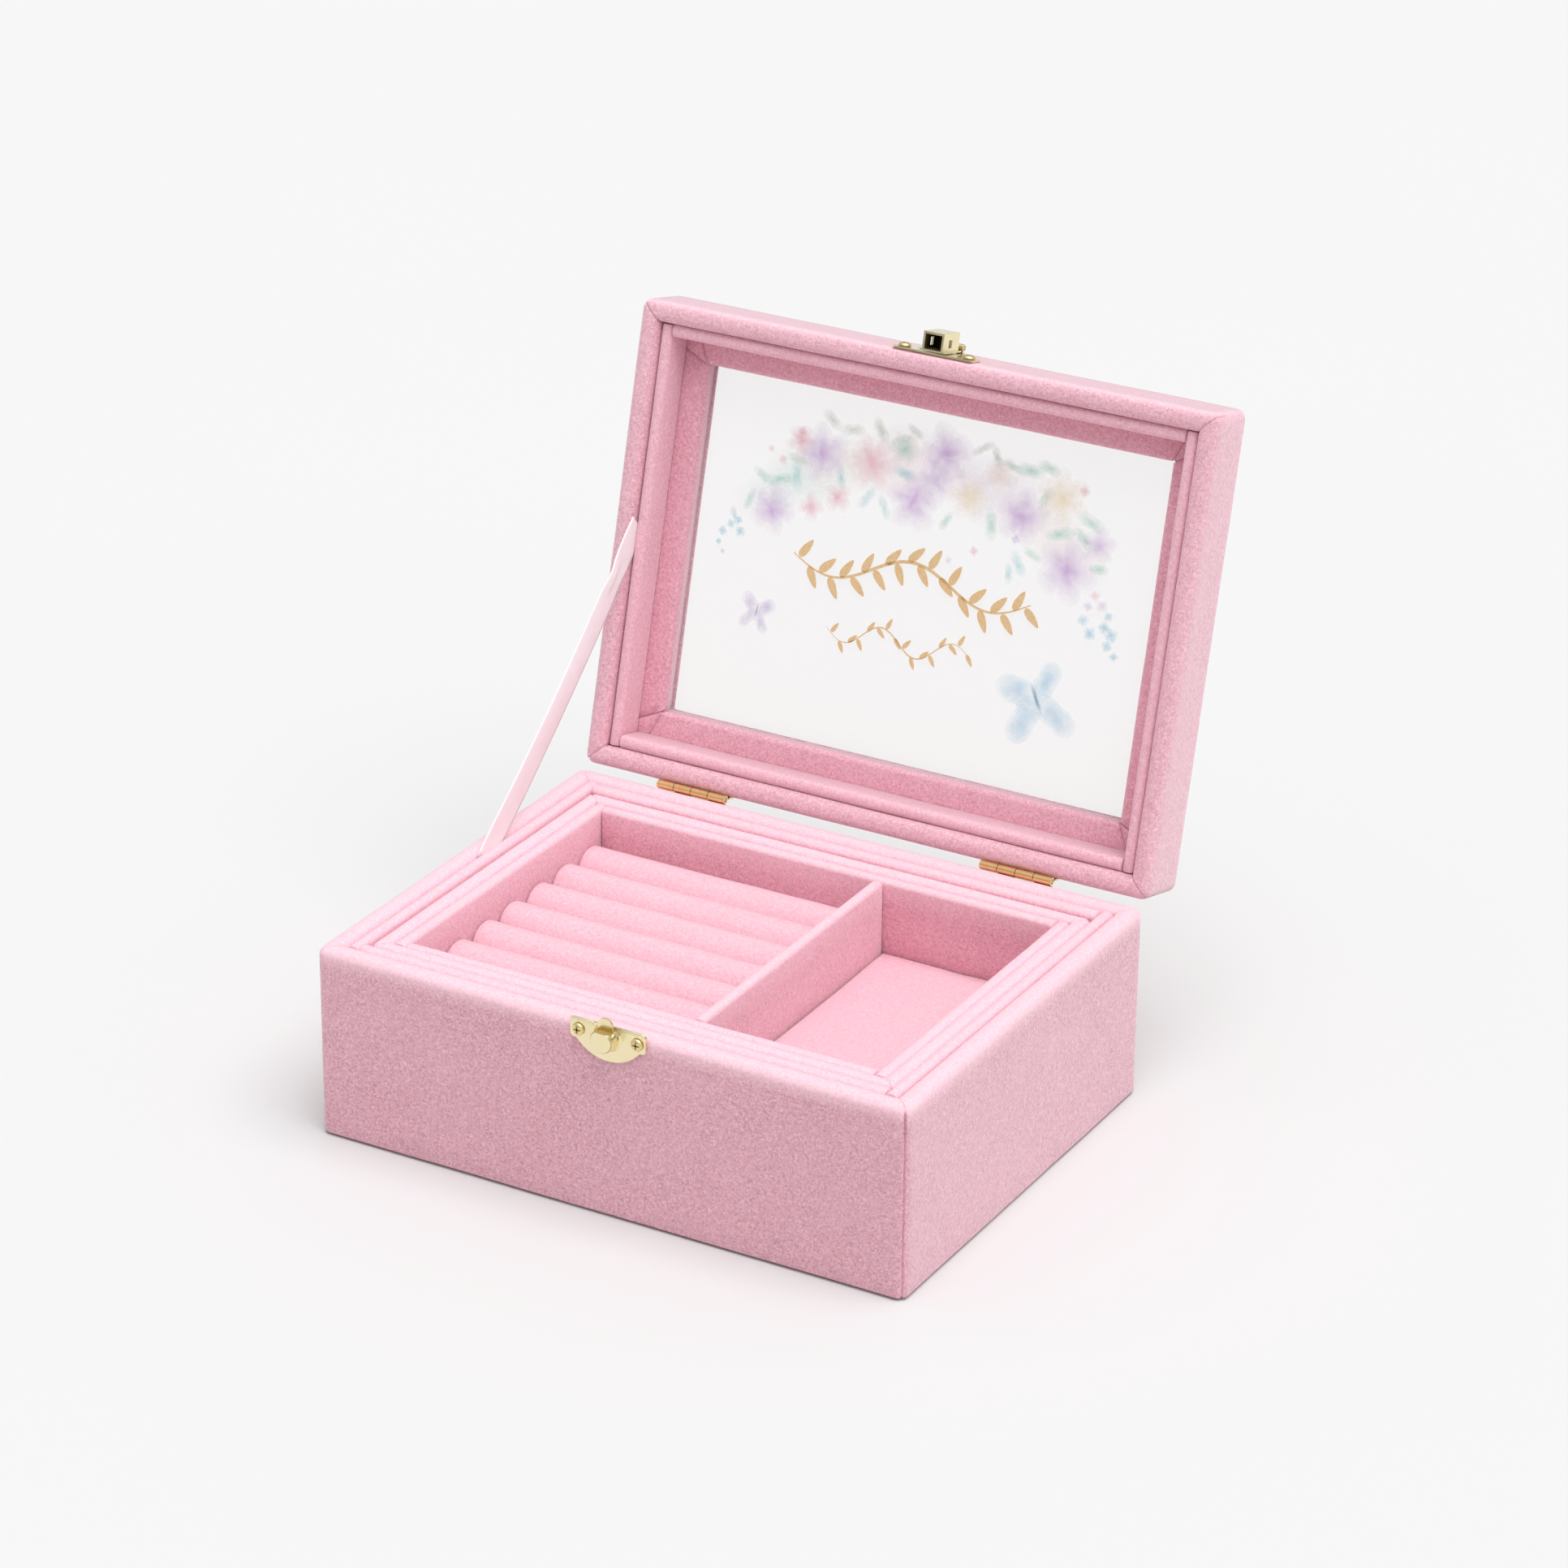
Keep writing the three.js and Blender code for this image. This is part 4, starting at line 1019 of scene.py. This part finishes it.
class JEWELRYBOX_OT_fittings(bpy.types.Operator):
    """Brass catch, hasp and hinges"""

    bl_idname = "jewelry_box.fittings"
    bl_label = "Brass fittings"

    def execute(self, context):
        refinish("brass", "catch_plate", "hasp_plate", "hasp_flap", "hasp_pin")
        refinish("screw_brass", "catch_screw_1", "catch_screw_2", "hasp_screw_1", "hasp_screw_2")
        refinish("hinge", "hinge_base_leaf_1", "hinge_base_leaf_2", "hinge_lid_leaf_1",
                 "hinge_lid_leaf_2", "hinge_pin_1", "hinge_pin_2")
        self.recess_shade_crosses("catch_recess_shade", ("catch_screw_1", "catch_screw_2"), "base", None)
        self.recess_shade_crosses("hasp_recess_shade", ("hasp_screw_1", "hasp_screw_2"), "lid", lid_turn())
        self.rolled_edge()
        self.nose_painted_shade()
        self.hasp_painted_shade()
        return {"FINISHED"}

    def recess_shade_crosses(self, name, screws, body, turn):
        """Painted shade: dark crosses on the screw heads where shade falls in their cross recesses."""
        arm, slot, thick, off = 2.9 * MM, 0.72 * MM, 0.2 * MM, 0.22 * MM
        bm = bmesh.new()
        for screw in screws:
            low, high = node_box(screw, turn=turn)
            middle = (low + high) / 2
            for wide, tall in ((arm, slot), (slot, arm)):
                made = bmesh.ops.create_cube(bm, size=1.0)["verts"]
                bmesh.ops.scale(bm, vec=(wide, thick, tall), verts=made)
                bmesh.ops.translate(bm, vec=(middle.x, low.y + off, middle.z), verts=made)
        round_edges(bm, bm.edges[:], 0.04 * MM, 1)
        add_piece(bm, name, "recess_shade_brass", body, "latch_brass", smooth=False, turn=turn)

    def rolled_edge(self):
        """The rolled top edge of the catch plate, on both sides of the nose, in a paler, rougher brass
        whose paler tone is a painted highlight.
        """
        radius, long_, off = 0.72 * MM, 8.6 * MM, 9.4 * MM
        plate_face, plate_top = -83.25 * MM, 69.55 * MM
        low, high = node_box("catch_plate")
        centre = (low.x + high.x) / 2
        turned = Matrix.Rotation(math.pi / 2, 3, "Y")
        bm = bmesh.new()
        for side in (-1, 1):
            made = bmesh.ops.create_cone(bm, cap_ends=True, segments=20, radius1=radius,
                                         radius2=radius, depth=long_)["verts"]
            bmesh.ops.rotate(bm, cent=(0, 0, 0), matrix=turned, verts=made)
            bmesh.ops.scale(bm, vec=(1, 0.75, 1), verts=made)
            bmesh.ops.translate(bm, vec=(centre + side * off, plate_face, plate_top), verts=made)
        round_edges(bm, sharp_edges(bm, 1.2), 0.2 * MM, 2)
        add_piece(bm, "catch_rolled_edge", "highlight_brass", "base", "latch_brass")

    def nose_painted_shade(self):
        """Painted shade: darker brass in the lower half of the catch's hollow nose, and a darker ring
        round its mouth that draws the nose's shaded outline.
        """
        low, high = node_box("catch_plate")
        middle = (low.x + high.x) / 2
        half, front, back = 3.14 * MM, -87.42 * MM, -85.3 * MM
        nose_z, nose_cut, mouth = 66.3 * MM, 69.2 * MM, -88.06 * MM
        bm = box_mesh((middle - half, front, 66.2 * MM), (middle + half, back, 68.0 * MM))
        add_piece(bm, "catch_nose_shade_plug", "nose_shade_brass", "base", "latch_brass", smooth=False)
        bm = bmesh.new()
        made = bmesh.ops.create_cone(bm, cap_ends=False, segments=48, radius1=3.78 * MM,
                                     radius2=4.02 * MM, depth=0.34 * MM)["verts"]
        turned = Matrix.Rotation(-math.pi / 2, 3, "X")
        bmesh.ops.rotate(bm, cent=(0, 0, 0), matrix=turned, verts=made)
        bmesh.ops.translate(bm, vec=(middle, mouth, nose_z), verts=made)
        bmesh.ops.bisect_plane(bm, geom=bm.verts[:] + bm.edges[:] + bm.faces[:], dist=1e-6,
                               plane_co=(0, 0, nose_cut), plane_no=(0, 0, 1), clear_outer=True)
        bm.normal_update()
        bmesh.ops.solidify(bm, geom=bm.faces[:], thickness=0.10 * MM)
        add_piece(bm, "catch_nose_shade_ring", "nose_shade_brass", "base", "latch_brass")

    def hasp_painted_shade(self):
        """Painted shade: near-black sheets inside the hasp's hollow box, which is open at its side
        windows, stand for the shade in there.
        """
        turn = lid_turn()
        low, high = node_box("hasp_flap", turn=turn)
        middle = (low.x + high.x) / 2
        back, foot, thin = low.y + 6.6 * MM, low.z, 0.1 * MM
        half, deep, shallow = 3.14 * MM, 5.84 * MM, 0.7 * MM
        bottom, top = 0.5 * MM, 10.84 * MM
        window_low, window_high, near, far = 4.2 * MM, 6.4 * MM, 4.4 * MM, 1.6 * MM
        bm = bmesh.new()
        # Each sheet's depth behind the box's back, and its height over the foot
        for y0, y1, z0, z1 in ((deep, deep - thin, bottom, top), (deep, shallow, top - thin, top),
                               (shallow + thin / 2, shallow - thin / 2, bottom, top)):
            add_block(bm, (middle - half, back - y0, foot + z0), (middle + half, back - y1, foot + z1))
        for side in (-1, 1):
            inner, outer = sorted((middle + side * half, middle + side * (half - thin)))
            for y0, y1, z0, z1 in ((deep, shallow, bottom, window_low),
                                   (deep, shallow, window_high, top),
                                   (deep, near, window_low, window_high),
                                   (far, shallow, window_low, window_high)):
                add_block(bm, (inner, back - y0, foot + z0), (outer, back - y1, foot + z1))
        add_piece(bm, "hasp_box_painted_shade", "hollow_shade_brass", "flap", "latch_brass", smooth=False, turn=turn)


# ---------------------------------------------------------------- ribbon stay

class JEWELRYBOX_OT_ribbon(bpy.types.Operator):
    """Satin ribbon that holds the lid open"""

    bl_idname = "jewelry_box.ribbon"
    bl_label = "Ribbon stay"

    def execute(self, context):
        s = sizes()
        x = -102.35 * MM
        start, end = Vector((x, 12.3 * MM, 69 * MM)), Vector((x, 103.7 * MM, 148 * MM))
        run = (end - start).normalized()
        side = Vector((0, -run.z, run.y))
        steps, across, tuck = 60, 8, 7 * MM
        bm = bmesh.new()
        bmesh.ops.create_grid(bm, x_segments=across, y_segments=steps, size=0.5)
        uv = bm.loops.layers.uv.new("ribbon")
        for f in bm.faces:
            for corner in f.loops:
                corner[uv].uv = (corner.vert.co.x + 0.5, corner.vert.co.y + 0.5)
        span = (end - start).length
        for v in bm.verts:
            u, t = v.co.x, v.co.y + 0.5
            reach = -tuck + t * (span + 2 * tuck)
            share = min(max(reach / span, 0.0), 1.0)
            sag = s.ribbon_sag * 4 * share * (1 - share)
            bow = 0.55 * MM * math.sin(math.pi * share) * math.cos(math.pi * u)
            fold = 0.9 * MM * math.exp(-((share - 0.88) / 0.04) ** 2) * (1 if u > 0 else -0.3)
            wide = s.ribbon_width * (1 - 0.05 * math.sin(math.pi * share))
            v.co = start + run * reach + side * u * wide + Vector((bow + fold, 0, -sag))
        bm.normal_update()
        bmesh.ops.solidify(bm, geom=bm.faces[:], thickness=0.25 * MM)
        piece = finish_mesh(bm, "ribbon_stay_satin", finish_named("satin"))
        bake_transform(piece)
        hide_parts("ribbon_stay")
        return {"FINISHED"}


# ---------------------------------------------------------------- stage

# Azimuth, elevation and roll of the camera in degrees, its place in metres and its lens
CAMERA_ANGLES = (29.531, 24.826, 0.520)
CAMERA_PLACE = (0.79627, -1.37277, 0.85505)
CAMERA_LENS = 123.41


class JEWELRYBOX_OT_stage(bpy.types.Operator):
    """Pale floor, soft lights and the camera"""

    bl_idname = "jewelry_box.stage"
    bl_label = "Stage"

    def execute(self, context):
        scene = context.scene
        bm = bmesh.new()
        bmesh.ops.create_grid(bm, x_segments=1, y_segments=1, size=6.0)
        floor, tree, shader, place = new_finish("floor")
        tint = noise_at(tree, place, 3.0, 2.0, 0.5)
        tone = tuple(colours().floor)
        mottled = blend_colours(tree, tint, tone, tuple(v * 0.99 for v in tone))
        tree.links.new(mottled, shader.inputs["Base Color"])
        shader.inputs["Roughness"].default_value = 0.9
        shader.inputs["Specular IOR Level"].default_value = 0.1
        piece = finish_mesh(bm, "floor", floor, smooth=False)

        world = scene.world or bpy.data.worlds.new("studio")
        scene.world = world
        world.use_nodes = True
        sky = world.node_tree
        backdrop = sky.nodes["Background"]
        backdrop.inputs["Color"].default_value = (1.0, 1.0, 1.0, 1.0)
        split = node(sky, "ShaderNodeSeparateXYZ")
        sky.links.new(node(sky, "ShaderNodeTexCoord").outputs["Generated"], split.inputs["Vector"])
        sky.links.new(spread(sky, split.outputs["Z"], 0.0, 0.9, 0.33, 0.78), backdrop.inputs["Strength"])

        sun = bpy.data.lights.new("softbox", "SUN")
        sun.energy = 2.15
        sun.angle = math.radians(50)
        lit = bpy.data.objects.new("softbox", sun)
        lit.rotation_euler = Vector((0.30, -0.12, 0.94)).to_track_quat("Z", "Y").to_euler()
        scene.collection.objects.link(lit)
        scene.view_settings.view_transform = "Standard"

        azimuth, elevation, roll = (math.radians(angle) for angle in CAMERA_ANGLES)
        back = Vector((math.sin(azimuth) * math.cos(elevation), -math.cos(azimuth) * math.cos(elevation),
                       math.sin(elevation)))
        right = Vector((0, 0, 1)).cross(back).normalized()
        up = back.cross(right)
        right, up = (right * math.cos(roll) + up * math.sin(roll),
                     up * math.cos(roll) - right * math.sin(roll))
        data = bpy.data.cameras.new("camera")
        data.sensor_width = 36.0
        data.lens = CAMERA_LENS
        data.clip_end = 20.0
        camera = bpy.data.objects.new("camera", data)
        facing = Matrix((right, up, back)).transposed().to_4x4()
        camera.matrix_world = Matrix.Translation(CAMERA_PLACE) @ facing
        scene.collection.objects.link(camera)
        scene.camera = camera
        return {"FINISHED"}


class JEWELRYBOX_PT_panel(bpy.types.Panel):
    """Sizes, colours and pieces of the jewelry box"""

    bl_idname = "JEWELRYBOX_PT_panel"
    bl_label = "Jewelry Box"
    bl_space_type = "VIEW_3D"
    bl_region_type = "UI"
    bl_category = "Jewelry Box"

    def draw(self, context):
        layout = self.layout
        for group in (context.scene.jewelry_box_sizes, context.scene.jewelry_box_colours):
            column = layout.box().column()
            for key in group.__annotations__:
                column.prop(group, key)
        for piece in OPERATORS:
            layout.operator(piece.bl_idname)


OPERATORS = (
    JEWELRYBOX_OT_stage,
    JEWELRYBOX_OT_base_cover,
    JEWELRYBOX_OT_base_liners,
    JEWELRYBOX_OT_tray,
    JEWELRYBOX_OT_rolls_and_pads,
    JEWELRYBOX_OT_lid_cover,
    JEWELRYBOX_OT_lid_liners,
    JEWELRYBOX_OT_window_frame,
    JEWELRYBOX_OT_window_print,
    JEWELRYBOX_OT_fittings,
    JEWELRYBOX_OT_ribbon,
)
CLASSES = (JewelryBoxSizes, JewelryBoxColours, *OPERATORS, JEWELRYBOX_PT_panel)


def register():
    for item in CLASSES:
        bpy.utils.register_class(item)
    bpy.types.Scene.jewelry_box_sizes = PointerProperty(type=JewelryBoxSizes)
    bpy.types.Scene.jewelry_box_colours = PointerProperty(type=JewelryBoxColours)


def unregister():
    del bpy.types.Scene.jewelry_box_colours
    del bpy.types.Scene.jewelry_box_sizes
    for item in reversed(CLASSES):
        bpy.utils.unregister_class(item)


def main():
    register()
    for piece in OPERATORS:
        group, name = piece.bl_idname.split(".")
        getattr(getattr(bpy.ops, group), name)()


if __name__ == "__main__":
    main()
